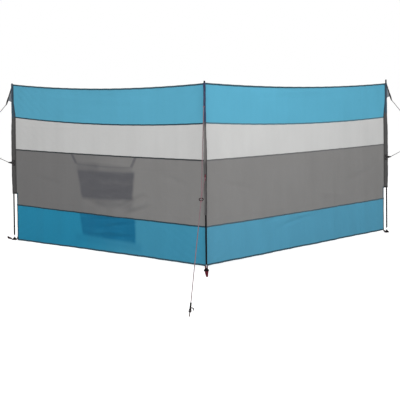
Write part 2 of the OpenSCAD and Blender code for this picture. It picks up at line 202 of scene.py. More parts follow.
class WindbreakRigging(bpy.types.PropertyGroup):
    """Sizes and colours of poles, feet, webbing, guy ropes and pegs."""

    pole_diameter: length_setting("Pole", "Diameter of a pole", 0.014)
    rope_diameter: length_setting("Rope", "Diameter of the guy rope", 0.006)
    knot_diameter: length_setting("Knot", "Diameter of a knot", 0.014)
    eye_length: length_setting("Eye", "Length of the eye around the peg", 0.064)
    patch_top: length_setting("Patch top", "Height of the guy patch's top corner", 1.490)
    patch_height: length_setting("Patch height", "Height of the guy patch along the sleeve", 0.155)
    patch_reach: length_setting("Patch reach", "Reach of the patch's strap from the pole", 0.092)
    patch_drop: length_setting("Patch drop", "Drop of the patch's strap to its loop", 0.165)
    patch_strap: length_setting("Patch strap", "Width of the strap along the patch", 0.014)
    patch_free: length_setting("Patch free", "Length of the strap past the net", 0.032)
    tab_height: length_setting("Tab height", "Height of the middle tab above the ground", 0.750)
    tab_length: length_setting("Tab length", "Length of the middle tab", 0.036)
    peg_hold: length_setting("Peg hold", "Distance of the eye up the peg", 0.039)
    centre_peg: length_setting("Centre peg", "Distance of the centre peg from its pole", 1.285)
    end_peg: length_setting("End peg", "Distance of an end peg from its pole", 1.620)
    strap_width: length_setting("Strap width", "Width of the foot and bag straps", 0.025)
    strap_thickness: length_setting("Strap thickness", "Thickness of webbing", 0.002)
    bag_strap_spread: length_setting("Strap spread", "Spread of the bag's straps at the seam", 0.030)
    pole_black: colour_setting("Pole", "Finish of the poles", srgb(11, 11, 12))
    foot_black: colour_setting("Foot", "Moulded plastic of the feet", srgb(13, 6, 8))
    steel: colour_setting("Steel", "Steel of the foot pins", srgb(178, 180, 184))
    red_webbing: colour_setting("Red webbing", "Webbing under the centre foot", srgb(94, 10, 28))
    end_webbing: colour_setting("End webbing", "Darker webbing under the end feet", srgb(32, 6, 13))
    black_webbing: colour_setting("Black webbing", "Webbing of the end tabs and bag straps", srgb(24, 20, 22))
    centre_webbing: colour_setting("Centre webbing", "Webbing of the centre tab", srgb(92, 30, 42))
    centre_strap: colour_setting("Centre strap", "Webbing along the centre patch", srgb(38, 50, 78))
    rope: colour_setting("Rope", "Grey yarn of the end ropes", srgb(112, 110, 109))
    rope_fleck: colour_setting("Rope fleck", "Darker yarn in the end ropes", srgb(92, 90, 90))
    red_rope: colour_setting("Red rope", "Pale yarn of the centre rope", srgb(124, 107, 111))
    red_fleck: colour_setting("Red fleck", "Red yarn in the centre rope", srgb(140, 82, 90))
    whipping: colour_setting("Whipping", "Dark whipping of the eyes around the pegs", srgb(26, 20, 23))
    ring_black: colour_setting("Ring", "Finish of the guy rings", srgb(34, 12, 16))
    peg_paint: colour_setting("Peg", "Finish of the pegs", srgb(34, 25, 27))
    peg_worn: colour_setting("Worn peg", "Reddish primer where the ground wears a peg", srgb(84, 46, 46))


class WindbreakStage(bpy.types.PropertyGroup):
    """Camera and light."""

    focal: FloatProperty(name="Focal length", description="Lens in millimetres", default=73.875, min=1)
    eye: FloatVectorProperty(
        name="Eye", description="Place of the camera", default=(-0.1369, -6.5261, 1.4901), subtype="XYZ"
    )
    yaw: FloatProperty(name="Yaw", description="Turn to the right", default=0.0507, subtype="ANGLE")
    pitch: FloatProperty(name="Pitch", description="Turn upwards", default=-0.0241, subtype="ANGLE")
    roll: FloatProperty(name="Roll", description="Turn about the view", default=-0.0106, subtype="ANGLE")
    shift: FloatVectorProperty(
        name="Shift", description="Shift of the frame", default=(-0.0725, -0.24), size=2, precision=4
    )
    key_power: power_setting("Front", 190)
    left_power: power_setting("Left", 93)
    right_power: power_setting("Right", 62)
    rear_power: power_setting("Rear", 130)
    sky: FloatProperty(name="Sky", description="Strength of the even light", default=0.42, min=0)


def cloth():
    return bpy.context.scene.windbreak_cloth


def rigging():
    return bpy.context.scene.windbreak_rigging


def smooth(value, low, high):
    t = min(max((value - low) / (high - low), 0), 1)
    return t * t * (3 - 2 * t)


def mix(first, second, share):
    return first + (second - first) * share


class Pull(NamedTuple):
    """Straight drawn fold in the cloth, from one place on the bay to another."""

    start: tuple
    end: tuple
    depth: float
    width: float = 0.021

    def depth_at(self, u, z):
        run_u, run_z = self.end[0] - self.start[0], self.end[1] - self.start[1]
        length = math.hypot(run_u, run_z)
        share = ((u - self.start[0]) * run_u + (z - self.start[1]) * run_z) / length**2
        if not 0 < share < 1:
            return 0.0
        across = ((u - self.start[0]) * run_z - (z - self.start[1]) * run_u) / length
        return self.depth * math.sin(math.pi * share) * math.exp(-((across / self.width) ** 2))


PULLS = {
    "left": (
        Pull((1.04, 0.395), (0.64, 0.560), 0.0135),
        Pull((0.98, 0.370), (0.60, 0.512), -0.0120),
        Pull((0.90, 0.362), (0.56, 0.468), 0.0085),
        Pull((1.44, 0.470), (1.08, 0.400), 0.0085, 0.028),
        Pull((1.34, 0.285), (0.78, 0.350), 0.0100, 0.016),
        Pull((1.26, 0.215), (0.74, 0.310), 0.0110, 0.016),
        Pull((1.38, 0.165), (0.84, 0.225), -0.0090, 0.016),
        Pull((1.10, 0.150), (0.76, 0.190), 0.0080, 0.014),
        Pull((1.50, 0.805), (0.76, 0.800), -0.0080, 0.018),
        Pull((1.25, 0.737), (0.76, 0.746), 0.0095, 0.016),
        Pull((1.40, 0.690), (0.92, 0.660), 0.0050, 0.020),
        Pull((1.30, 0.560), (0.84, 0.600), -0.0055, 0.020),
        Pull((2.10, 0.640), (1.60, 0.560), 0.0050, 0.030),
        Pull((0.55, 0.760), (0.12, 0.640), 0.0045, 0.030),
    ),
    "right": (
        Pull((0.62, 0.300), (0.98, 0.345), 0.0055, 0.018),
        Pull((0.80, 0.235), (1.22, 0.300), 0.0060, 0.018),
        Pull((1.02, 0.300), (1.40, 0.340), -0.0055),
        Pull((0.12, 0.700), (0.60, 0.580), 0.0050, 0.026),
        Pull((1.70, 0.560), (2.20, 0.660), 0.0045, 0.030),
        Pull((1.30, 0.500), (1.75, 0.430), -0.0045, 0.030),
    ),
}


# How far the hung cloth's lines lie off their even curves, in metres: at the centre pole, at mid bay and at
# the end pole.
UNEVEN = {
    "left": {
        TOP_EDGE: (0.002, 0.010, 0.012),
        UPPER_SEAM: (-0.007, -0.003, 0.010),
        LOWER_EDGE: (-0.003, -0.013, -0.030),
    },
    "right": {TOP_EDGE: (0.005, 0.006, -0.016), UPPER_SEAM: (-0.002, -0.019, -0.035)},
}


class Fold(NamedTuple):
    """Family of small folds, in metres: depth, wave length per radian, and distance over which they fade."""

    depth: float
    wave: float
    fade: float = 0.0


SWAGS = Fold(0.0022, 0.0145, 0.13)
CORNER_FOLDS = Fold(0.0014, 0.0095, 0.26)
RIPPLES = Fold(0.0026, 0.041)
BILLOWS = Fold(0.0034, 0.125)
SEAM_PUCKERS = Fold(0.0007, 0.0062, 0.022)
SLEEVE_PUCKERS = Fold(0.0014, 0.0115, 0.055)

# Packing creases as depth and half width: upright ones divide a bay evenly, and level ones lie at heights.
UPRIGHT_CREASE = (0.0011, 0.007)
LEVEL_CREASE = (0.0009, 0.006)
CREASED_PARTS = 6
CREASE_HEIGHTS = (0.40, 0.77, 1.11)

# Corners of a bay: share along it, line, and lean of the folds there in radians.
CORNERS = ((0, TOP_EDGE, -0.62), (1, TOP_EDGE, 0.62), (0, LOWER_EDGE, 0.5), (1, LOWER_EDGE, -0.5))
# Distance from a sleeve over which the cloth's folds rise.
HELD_EDGE = 0.10


class Bay:
    """One bay: u runs from the centre seam to the end pole, and rear points behind the cloth."""

    def __init__(self, side):
        run = FEET[side] - CENTRE_SEAM
        turn = 1 if side == "right" else -1
        self.side = side
        self.length = run.length
        self.along = run.normalized()
        self.rear = Vector((-turn * self.along.y, turn * self.along.x, 0))
        self.phase = 0.0 if side == "right" else 2.1
        self.end = self.length - SLEEVE_W
        values = cloth()
        self.heights = (
            values.top_edge, values.upper_seam, values.middle_seam, values.lower_seam, values.lower_edge
        )
        self.sags = (values.top_sag, values.upper_sag, values.middle_sag, values.lower_sag, 0)
        self.bulge = values.belly
        self.taper = self.line(UPPER_SEAM, self.end) + TAPE_HALF
        self.head = values.top_edge - values.head_length

    def line(self, k, u):
        """Height of the top edge, a seam or the lower edge at u."""
        t = u / self.length
        start, middle, end = UNEVEN[self.side].get(k, (0, 0, 0))
        bow = middle - mix(start, end, 0.5) - self.sags[k]
        return self.heights[k] + mix(start, end, t) + bow * 4 * t * (1 - t)

    def end_at(self, z):
        """Where the cloth meets the end sleeve at a height."""
        return self.length - self.sleeve_tail(z)

    def sleeve_tail(self, z):
        """Width of the end sleeve at a height, from the pole's axis to its seam."""
        share = min(max((z - self.taper) / (self.head - self.taper), 0), 1)
        return mix(SLEEVE_W, cloth().head_width, share)

    def offset(self, u, z):
        """How far the cloth lies behind its plane; most folds fade out at the sleeves."""
        held = smooth(u, 0, HELD_EDGE) * smooth(self.end_at(z) - u, 0, HELD_EDGE)
        lie = self.belly(u, z) + self.corner_folds(u, z) + self.ripples(u, z) + self.creases(u, z)
        lie += sum(pull.depth_at(u, z) for pull in PULLS[self.side])
        return lie * held + self.sleeve_puckers(u, z)

    def belly(self, u, z):
        """Bulge of the whole bay, and swags below its top edge."""
        t = u / self.length
        bow = math.sin(math.pi * t)
        h = (z - self.heights[LOWER_EDGE]) / (self.heights[TOP_EDGE] - self.heights[LOWER_EDGE])
        bulge = self.bulge * bow * math.sin(math.pi * min(max(h, 0), 1))
        below = max(self.line(TOP_EDGE, u) - z, 0)
        swag = math.exp(-below / SWAGS.fade) * math.sin(below / SWAGS.wave + 3 * t + self.phase)
        return bulge + SWAGS.depth * swag * bow

    def corner_folds(self, u, z):
        """Small folds that fan out from the four corners."""
        lie = 0.0
        for share, k, lean in CORNERS:
            du = u - share * self.end
            dz = z - self.heights[k]
            reach = math.hypot(du, dz)
            across = dz * math.cos(lean) - du * math.sin(lean)
            pull = math.exp(-reach / CORNER_FOLDS.fade) * smooth(reach, 0.0, 0.09)
            lie += pull * math.sin(across / CORNER_FOLDS.wave + 4 * reach + self.phase)
        return CORNER_FOLDS.depth * lie

    def ripples(self, u, z):
        """Upright ripples and billows that deepen downwards, and puckers along the seams."""
        ripple = math.sin(u / RIPPLES.wave + 1.7 * math.sin(3.1 * u + self.phase) + 1.2 * z)
        lie = RIPPLES.depth * ripple * (0.35 + 0.65 * smooth(z, 1.1, 0.1))
        lie += BILLOWS.depth * math.sin(u / BILLOWS.wave + 2.3 * z + self.phase) * smooth(z, 1.3, 0.2)
        for k in (UPPER_SEAM, MIDDLE_SEAM, LOWER_SEAM):
            near = math.exp(-abs(z - self.line(k, u)) / SEAM_PUCKERS.fade)
            lie += SEAM_PUCKERS.depth * near * math.sin(u / SEAM_PUCKERS.wave + 2 * math.sin(u * 9 + k))
        return lie

    def creases(self, u, z):
        """Packing creases, which turn to the rear and to the front by turns."""
        gaps = []
        for k in range(1, CREASED_PARTS):
            gap = u - k * self.length / CREASED_PARTS - 0.012 * math.sin(7 * z + k)
            gaps.append((k, gap, *UPRIGHT_CREASE))
        for k, height in enumerate(CREASE_HEIGHTS):
            gaps.append((k, z - height - 0.006 * math.sin(5 * u + k), *LEVEL_CREASE))
        return sum(
            (1 if k % 2 else -1) * depth * math.exp(-((gap / half_w) ** 2)) for k, gap, depth, half_w in gaps
        )

    def sleeve_puckers(self, u, z):
        """Short puckers beside the centre sleeve."""
        depth = SLEEVE_PUCKERS.depth * math.exp(-u / SLEEVE_PUCKERS.fade) * smooth(u, 0, 0.03)
        wave = math.sin((z + 0.7 * u) / SLEEVE_PUCKERS.wave + self.phase)
        return depth * wave * smooth(z, 1.15, 0.95)

    def place(self, u, z, behind=0.0):
        return CENTRE_SEAM + self.along * u + self.rear * behind + UP * z

    def on_cloth(self, u, z, behind=0.0):
        """Point that follows the lie of the cloth."""
        return self.place(u, z, self.offset(u, z) + behind)


def outward(side):
    """Direction from a pole away from its cloth."""
    return Vector((0, -1, 0)) if side == "centre" else Bay(side).along


def sleeve_pull(side, z):
    """How far the guy draws an end sleeve outwards around its middle tab."""
    if side == "centre":
        return 0.0
    return SLEEVE_PULL * smooth(z, 1.25, 0.95) * mix(0.6, 1.0, smooth(z, 0.45, 0.62))


class Guy:
    """One guy: out points away from the pole in the guy's own upright plane."""

    def __init__(self, side):
        values = rigging()
        ring = node_middle(side + "_guy_ring")
        run = on_ground(ring) - FEET[side]
        pole_low, pole_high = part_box(side + "_pole")
        knot_r = values.knot_diameter / 2
        self.side = side
        self.out = run.normalized()
        self.across = UP.cross(self.out)
        self.ring = Vector((run.length, ring.z))
        self.sleeve_face = (pole_high.x - pole_low.x) / 2 + SLEEVE_STAND
        self.corner = Vector((self.sleeve_face, values.patch_top))
        self.loop = Vector((values.patch_reach, values.patch_top - values.patch_drop))
        self.strap_length = (self.loop - self.corner).length
        self.strap_run = (self.loop - self.corner).normalized()
        self.strap_in = Vector((self.strap_run.y, -self.strap_run.x))
        self.top_knot = self.loop + self.strap_in * values.patch_strap / 2 + self.strap_run * knot_r
        self.tab_reach = values.tab_length + 1.5 * sleeve_pull(side, values.tab_height)
        self.middle_knot = Vector((self.sleeve_face + self.tab_reach + knot_r, values.tab_height))
        peg = Vector((values.centre_peg if side == "centre" else values.end_peg, 0))
        self.hold = peg + Vector((math.sin(PEG_LEAN), math.cos(PEG_LEAN))) * values.peg_hold
        self.line_run = (self.hold - self.ring).normalized()

    def place(self, point, across=0.0):
        return FEET[self.side] + self.out * point.x + self.across * across + UP * point.y


def select_only(piece):
    bpy.ops.object.select_all(action="DESELECT")
    piece.select_set(True)
    bpy.context.view_layer.objects.active = piece


def select_faces(piece, facing):
    """Selects the faces that look one way, in edit mode."""
    bpy.ops.mesh.select_mode(type="FACE")
    bpy.ops.mesh.select_all(action="DESELECT")
    mesh = bmesh.from_edit_mesh(piece.data)
    for face in mesh.faces:
        face.select = face.normal.dot(facing) > 0.9
    bmesh.update_edit_mesh(piece.data)


def apply_modifier(piece, kind, **values):
    select_only(piece)
    made = piece.modifiers.new(kind.title(), kind)
    for key, value in values.items():
        setattr(made, key, value)
    bpy.ops.object.modifier_apply(modifier=made.name)


def ease_edges(piece, width, segments, angle):
    """Bevels the edges that turn by more than an angle in degrees, and smooths the shading."""
    limit = math.radians(angle)
    apply_modifier(piece, "BEVEL", width=width, segments=segments, limit_method="ANGLE", angle_limit=limit)
    select_only(piece)
    bpy.ops.object.shade_smooth_by_angle(angle=math.radians(40))


class Draft:
    """Mesh under work, with a map in metres that follows the cloth or the cord."""

    def __init__(self, name):
        self.name = name
        self.mesh = bmesh.new()
        self.map = self.mesh.loops.layers.uv.new(CLOTH_MAP)

    def face(self, corners, places):
        made = self.mesh.faces.new(corners)
        for loop, place in zip(made.loops, places):
            loop[self.map].uv = place
        made.smooth = True

    def rows(self, rows, closed=False, capped=False):
        """Skin over rows of (point, map place); a closed row goes round and may have caps."""
        points = [[self.mesh.verts.new(point) for point, _ in row] for row in rows]
        for i in range(len(rows) - 1):
            count = len(rows[i])
            for j in range(count if closed else count - 1):
                k = (j + 1) % count
                ring = ((i, j), (i, k), (i + 1, k), (i + 1, j))
                self.face([points[a][b] for a, b in ring], [rows[a][b][1] for a, b in ring])
        if capped:
            for i in (0, len(rows) - 1):
                self.face(points[i], [place for _, place in rows[i]])

    def tube(self, path, radius, sides=12, start=0.0):
        """Round cord along a path, with closed ends."""
        rows = []
        side = None
        run = start
        for i, point in enumerate(path):
            heading = (path[min(i + 1, len(path) - 1)] - path[max(i - 1, 0)]).normalized()
            if side is None:
                side = heading.orthogonal().normalized()
            side = (side - heading * side.dot(heading)).normalized()
            third = heading.cross(side)
            run += (point - path[i - 1]).length if i else 0
            rows.append([
                (point + (side * math.cos(a) + third * math.sin(a)) * radius, (a * radius, run))
                for a in (2 * math.pi * j / sides for j in range(sides))
            ])
        self.rows(rows, closed=True, capped=True)

    def finish(self, thickness=0.0):
        bmesh.ops.remove_doubles(self.mesh, verts=self.mesh.verts, dist=1e-6)
        bmesh.ops.recalc_face_normals(self.mesh, faces=self.mesh.faces)
        data = bpy.data.meshes.new(self.name)
        self.mesh.to_mesh(data)
        self.mesh.free()
        piece = bpy.data.objects.new(self.name, data)
        bpy.context.scene.collection.objects.link(piece)
        if thickness:
            apply_modifier(piece, "SOLIDIFY", thickness=thickness, offset=0)
        return piece


def paint(piece, material):
    piece.data.materials.clear()
    piece.data.materials.append(material)


def settle(piece, slot, material, stands_for):
    """Gives a finished piece its material, hangs it under the root and hides the node it stands for; the slot
    is not used.
    """
    paint(piece, material)
    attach(piece, "root")
    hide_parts(stands_for)


def rounded_path(corners, step, passes):
    """Points along straight runs, with the corners eased."""
    path = []
    for first, second in zip(corners, corners[1:]):
        count = max(1, round((second - first).length / step))
        path += [first.lerp(second, i / count) for i in range(count)]
    path.append(corners[-1])
    for _ in range(passes):
        path = [path[0]] + [
            (path[i - 1] + path[i] * 2 + path[i + 1]) / 4 for i in range(1, len(path) - 1)
        ] + [path[-1]]
    return path


def band_ring(half_w, half_t):
    """Section of a folded tape: across its width and through its thickness, with eased edges."""
    ease = min(half_t, half_w * 0.4)
    return (
        (-half_w + ease, -half_t), (0, -half_t), (half_w - ease, -half_t), (half_w, -half_t * 0.4),
        (half_w, half_t * 0.4), (half_w - ease, half_t), (0, half_t), (-half_w + ease, half_t),
        (-half_w, half_t * 0.4), (-half_w, -half_t * 0.4),
    )


def node(tree, kind, inputs=None, **settings):
    made = tree.nodes.new(kind)
    for key, value in settings.items():
        setattr(made, key, value)
    for key, value in (inputs or {}).items():
        if isinstance(value, bpy.types.NodeSocket):
            tree.links.new(value, made.inputs[key])
        else:
            made.inputs[key].default_value = value
    return made


def calc(tree, operation, *values):
    made = node(tree, "ShaderNodeMath", dict(enumerate(values)), operation=operation)
    return made.outputs[0]


def off(tree, value, level):
    """Distance of a value from a level."""
    return calc(tree, "ABSOLUTE", calc(tree, "SUBTRACT", value, level))


def span(tree, value, low, high, to_low=0.0, to_high=1.0):
    """Eased step of a value between two levels."""
    levels = {"Value": value, "From Min": low, "From Max": high, "To Min": to_low, "To Max": to_high}
    return node(tree, "ShaderNodeMapRange", levels, interpolation_type="SMOOTHSTEP").outputs["Result"]


def tint(tree, factor, first, second, mode="MIX"):
    made = node(tree, "ShaderNodeMix", {0: factor, 6: first, 7: second}, data_type="RGBA", blend_type=mode)
    return made.outputs[2]


def rgba(colour):
    return (*colour, 1.0)


def paler(colour, times, plus=0.0):
    """Paler kin of a colour, for threads and worn edges."""
    return rgba([min(1, times * channel + plus) for channel in colour])


def shared_group(name, inputs, outputs, build):
    """Node group, made once; build links its input node to its output node."""
    tree = bpy.data.node_groups.get(name)
    if tree:
        return tree
    tree = bpy.data.node_groups.new(name, "ShaderNodeTree")
    for label, kind, value in inputs:
        socket = tree.interface.new_socket(label, in_out="INPUT", socket_type="NodeSocket" + kind)
        if value is not None:
            socket.default_value = value
    for label, kind in outputs:
        tree.interface.new_socket(label, in_out="OUTPUT", socket_type="NodeSocket" + kind)
    enter = tree.nodes.new("NodeGroupInput")
    leave = tree.nodes.new("NodeGroupOutput")
    for label, socket in build(tree, enter.outputs).items():
        tree.links.new(socket, leave.inputs[label])
    return tree


def weave_group():
    """Plain weave: threads that go over and under each other."""

    def build(tree, given):
        place = node(tree, "ShaderNodeSeparateXYZ", {0: given["Place"]})
        turns = calc(tree, "DIVIDE", 2 * math.pi, given["Thread"])
        warp = calc(tree, "SINE", calc(tree, "MULTIPLY", place.outputs[0], turns))
        weft = calc(tree, "SINE", calc(tree, "MULTIPLY", place.outputs[1], turns))
        crossing = calc(tree, "MULTIPLY_ADD", calc(tree, "MULTIPLY", warp, weft), 0.5, 0.5)
        return {"Height": crossing}

    return shared_group(
        "Plain weave", [("Place", "Vector", None), ("Thread", "Float", 0.001)], [("Height", "Float")], build
    )


def drift_group():
    """Slow change of tone over a surface, around one."""

    def build(tree, given):
        noise = node(
            tree, "ShaderNodeTexNoise",
            {"Vector": given["Place"], "Scale": given["Scale"], "Detail": 3.0, "Roughness": 0.55},
        )
        centred = calc(tree, "SUBTRACT", noise.outputs[0], 0.5)
        tone = calc(tree, "MULTIPLY_ADD", centred, given["Amount"], 1.0)
        return {"Tone": tone, "Raw": noise.outputs[0]}

    return shared_group(
        "Tone drift",
        [("Place", "Vector", None), ("Scale", "Float", 6.0), ("Amount", "Float", 0.2)],
        [("Tone", "Float"), ("Raw", "Float")],
        build,
    )


def stitch_group():
    """Row of stitches along a line."""

    def build(tree, given):
        half_w = calc(tree, "MULTIPLY", given["Width"], 0.5)
        near = calc(tree, "LESS_THAN", off(tree, given["Across"], given["Line"]), half_w)
        beat = calc(tree, "FRACT", calc(tree, "DIVIDE", given["Along"], given["Pitch"]))
        return {"Mask": calc(tree, "MULTIPLY", near, calc(tree, "LESS_THAN", beat, 0.68))}

    return shared_group(
        "Stitch row",
        [("Across", "Float", 0.0), ("Along", "Float", 0.0), ("Line", "Float", 0.0),
         ("Pitch", "Float", 0.004), ("Width", "Float", 0.0009)],
        [("Mask", "Float")],
        build,
    )


def box_stitch_group():
    """Crossed box of stitches that holds a tab to the sleeve's map."""

    def build(tree, given):
        place = node(tree, "ShaderNodeSeparateXYZ", {0: given["Place"]})
        wide = calc(tree, "DIVIDE", off(tree, place.outputs[0], BOX_ACROSS), BOX_HALF_W)
        tall = calc(tree, "DIVIDE", off(tree, place.outputs[1], given["Height"]), BOX_HALF_H)
        reach = calc(tree, "MAXIMUM", wide, tall)
        inside = calc(tree, "LESS_THAN", reach, 1.0)
        rim = calc(tree, "GREATER_THAN", reach, 1.0 - BOX_ROW)
        cross = calc(tree, "LESS_THAN", off(tree, wide, tall), BOX_ROW)
        return {"Mask": calc(tree, "MULTIPLY", inside, calc(tree, "MAXIMUM", rim, cross))}

    return shared_group(
        "Box stitch", [("Place", "Vector", None), ("Height", "Float", 0.75)], [("Mask", "Float")], build
    )


class Shade(NamedTuple):
    """Area of the cloth's map, in metres, painted with the shade of something that hangs behind; its edges
    lean, slope and bow.
    """

    near: float
    far: float
    low: float
    high: float
    depth: float
    soft: float = 0.010
    near_lean: float = 0.0
    far_lean: float = 0.0
    slope: float = 0.0
    low_slope: float = 0.0
    low_bow: float = 0.0
    high_bow: float = 0.0

    def shape(self):
        """Values for the inputs of the shade box group."""
        return {field.title(): value for field, value in self._asdict().items() if field != "depth"}


# Painted shade that the hanging bag, its two straps and the fold under it cast through the left bay's grey
# cloth.
BAG_SHADES = (
    Shade(
        0.803, 1.424, 0.501, 0.740, 1.0, soft=0.023, near_lean=-0.12, far_lean=0.218,
        slope=-0.015, low_slope=-0.027, low_bow=0.006,
    ),
    Shade(0.790, 1.250, 0.415, 0.490, 0.34, soft=0.040),
    Shade(1.210, 1.480, 0.735, 0.786, 0.45, soft=0.036),
    Shade(0.800, 1.260, 0.752, 0.774, 0.25, soft=0.014),
    Shade(0.790, 1.480, 0.776, 0.786, 0.45, soft=0.008, low_bow=0.008, high_bow=0.008),
    Shade(0.792, 0.824, 0.785, 0.872, 0.80, soft=0.010, near_lean=-0.566, far_lean=-0.566),
    Shade(1.472, 1.504, 0.785, 0.872, 0.85, soft=0.010, near_lean=0.667, far_lean=0.667),
)
# Painted shade that the low pocket casts through the left bay's blue cloth, with a softer one below it.
POCKET_SHADES = (
    Shade(0.765, 1.408, 0.128, 0.372, 1.0, soft=0.022, near_lean=0.02, far_lean=0.20, slope=0.025),
    Shade(0.700, 1.500, 0.062, 0.128, 0.24, soft=0.030, slope=0.025),
)

# Stretch of the cloth's map, in metres from the centre pole, over which the left bay's lower stripes darken,
# as painted shade of light that falls off towards the end pole, and the tones that they have beyond it.
FALLOFF_SHADE_SPAN = (0.70, 1.50)
FALLOFF_SHADE_TONES = {"left_grey_stripe": (0.82, 0.82, 0.83), "left_low_stripe": (0.40, 0.91, 0.985)}


def shade_box_group():
    """Soft-edged box on the cloth's map, with leaning sides and bowed edges."""

    def build(tree, given):
        place = node(tree, "ShaderNodeSeparateXYZ", {0: given["Place"]})
        u, z = place.outputs[0], place.outputs[1]
        from_near = calc(tree, "SUBTRACT", u, given["Near"])
        share = calc(tree, "DIVIDE", from_near, calc(tree, "SUBTRACT", given["Far"], given["Near"]))
        bow = calc(tree, "MULTIPLY", calc(tree, "MULTIPLY", share, calc(tree, "SUBTRACT", 1.0, share)), 4.0)
        level = calc(tree, "SUBTRACT", z, calc(tree, "MULTIPLY", from_near, given["Slope"]))
        rise = calc(tree, "SUBTRACT", z, given["Low"])
        near = calc(tree, "MULTIPLY_ADD", rise, given["Near Lean"], given["Near"])
        far = calc(tree, "MULTIPLY_ADD", rise, given["Far Lean"], given["Far"])
        low = calc(tree, "MULTIPLY_ADD", from_near, given["Low Slope"], given["Low"])
        low = calc(tree, "SUBTRACT", low, calc(tree, "MULTIPLY", bow, given["Low Bow"]))
        high = calc(tree, "SUBTRACT", given["High"], calc(tree, "MULTIPLY", bow, given["High Bow"]))
        inside = []
        for value, first, last in ((u, near, far), (level, low, high)):
            soft = given["Soft"]
            rising = span(tree, value, calc(tree, "SUBTRACT", first, soft), calc(tree, "ADD", first, soft))
            falling = span(tree, value, calc(tree, "SUBTRACT", last, soft), calc(tree, "ADD", last, soft))
            inside.append(calc(tree, "SUBTRACT", rising, falling))
        return {"Mask": calc(tree, "MULTIPLY", *inside)}

    sizes = [(field.replace("_", " ").title(), "Float", 0.0) for field in Shade._fields if field != "depth"]
    return shared_group("Shade box", [("Place", "Vector", None), *sizes], [("Mask", "Float")], build)


class Finish:
    """Material under work: its tree, its shader and the coordinates it reads."""

    def __init__(self, name, map_name=None):
        self.material = bpy.data.materials.new(name)
        self.material.use_nodes = True
        self.tree = self.material.node_tree
        self.shader = self.tree.nodes["Principled BSDF"]
        if map_name:
            self.place = node(self.tree, "ShaderNodeUVMap", uv_map=map_name).outputs[0]
        else:
            self.place = node(self.tree, "ShaderNodeTexCoord").outputs["Object"]

    def done(self, base, rough, normal, specular, metallic=0.0):
        """Links the shader's sockets and hands over the material."""
        inputs = self.shader.inputs
        for key, socket in (("Base Color", base), ("Roughness", rough), ("Normal", normal)):
            self.tree.links.new(socket, inputs[key])
        inputs["Specular IOR Level"].default_value = specular
        inputs["Metallic"].default_value = metallic
        return self.material

    def axes(self):
        return node(self.tree, "ShaderNodeSeparateXYZ", {0: self.place}).outputs

    def solid_axes(self):
        """Place in the object's own space, whatever map the material reads."""
        place = node(self.tree, "ShaderNodeTexCoord").outputs["Object"]
        return node(self.tree, "ShaderNodeSeparateXYZ", {0: place}).outputs

    def by_height(self, low, *steps):
        """Colour that changes at heights: the lowest colour, then pairs of a height and a colour above it."""
        height = self.solid_axes()[2]
        made = rgba(low)
        for level, colour in steps:
            made = tint(self.tree, self.calc("GREATER_THAN", height, level), made, rgba(colour))
        return made

    def scaled(self, x, y, z=1.0):
        mapping = node(self.tree, "ShaderNodeMapping", {"Vector": self.place, "Scale": (x, y, z)})
        return mapping.outputs[0]

    def use(self, group, output, **values):
        inputs = {key.replace("_", " "): value for key, value in values.items()}
        return node(self.tree, "ShaderNodeGroup", inputs, node_tree=group).outputs[output]

    def drift(self, scale, amount, place=None):
        """Tone around one that drifts over the surface."""
        return self.use(drift_group(), "Tone", Place=place or self.place, Scale=scale, Amount=amount)

    def noise(self, scale, place=None):
        return self.use(drift_group(), "Raw", Place=place or self.place, Scale=scale)

    def roughness(self, scale, spread, least):
        return self.calc("MULTIPLY_ADD", self.noise(scale), spread, least)

    def weave(self, thread):
        return self.use(weave_group(), "Height", Place=self.place, Thread=thread)

    def stitches(self, across, along, line, pitch=0.004, width=0.0009):
        row = {"Across": across, "Along": along, "Line": line, "Pitch": pitch, "Width": width}
        return self.use(stitch_group(), "Mask", **row)

    def calc(self, operation, *values):
        return calc(self.tree, operation, *values)

    def span(self, *levels):
        return span(self.tree, *levels)

    def tint(self, factor, first, second):
        return tint(self.tree, factor, first, second)

    def between(self, value, low, high, soft):
        """Mask between two levels, with soft edges."""
        rising = self.span(value, low - soft, low + soft)
        return self.calc("SUBTRACT", rising, self.span(value, high - soft, high + soft))

    def over(self, base, mask, share, colour):
        """Base with a share of another colour where the mask is."""
        return self.tint(self.calc("MULTIPLY", mask, share), base, colour)

    def ribs(self, value, pitch):
        """Waves from zero to one along a value."""
        wave = self.calc("SINE", self.calc("MULTIPLY", value, 2 * math.pi / pitch))
        return self.calc("MULTIPLY_ADD", wave, 0.5, 0.5)

    def toned(self, colour, *tones):
        """Colour times its tones."""
        for tone in tones:
            colour = tint(self.tree, 1.0, colour, tone, "MULTIPLY")
        return colour

    def bump(self, height, distance, strength=0.5, below=None):
        values = {"Height": height, "Distance": distance, "Strength": strength}
        if below:
            values["Normal"] = below
        return node(self.tree, "ShaderNodeBump", values).outputs[0]


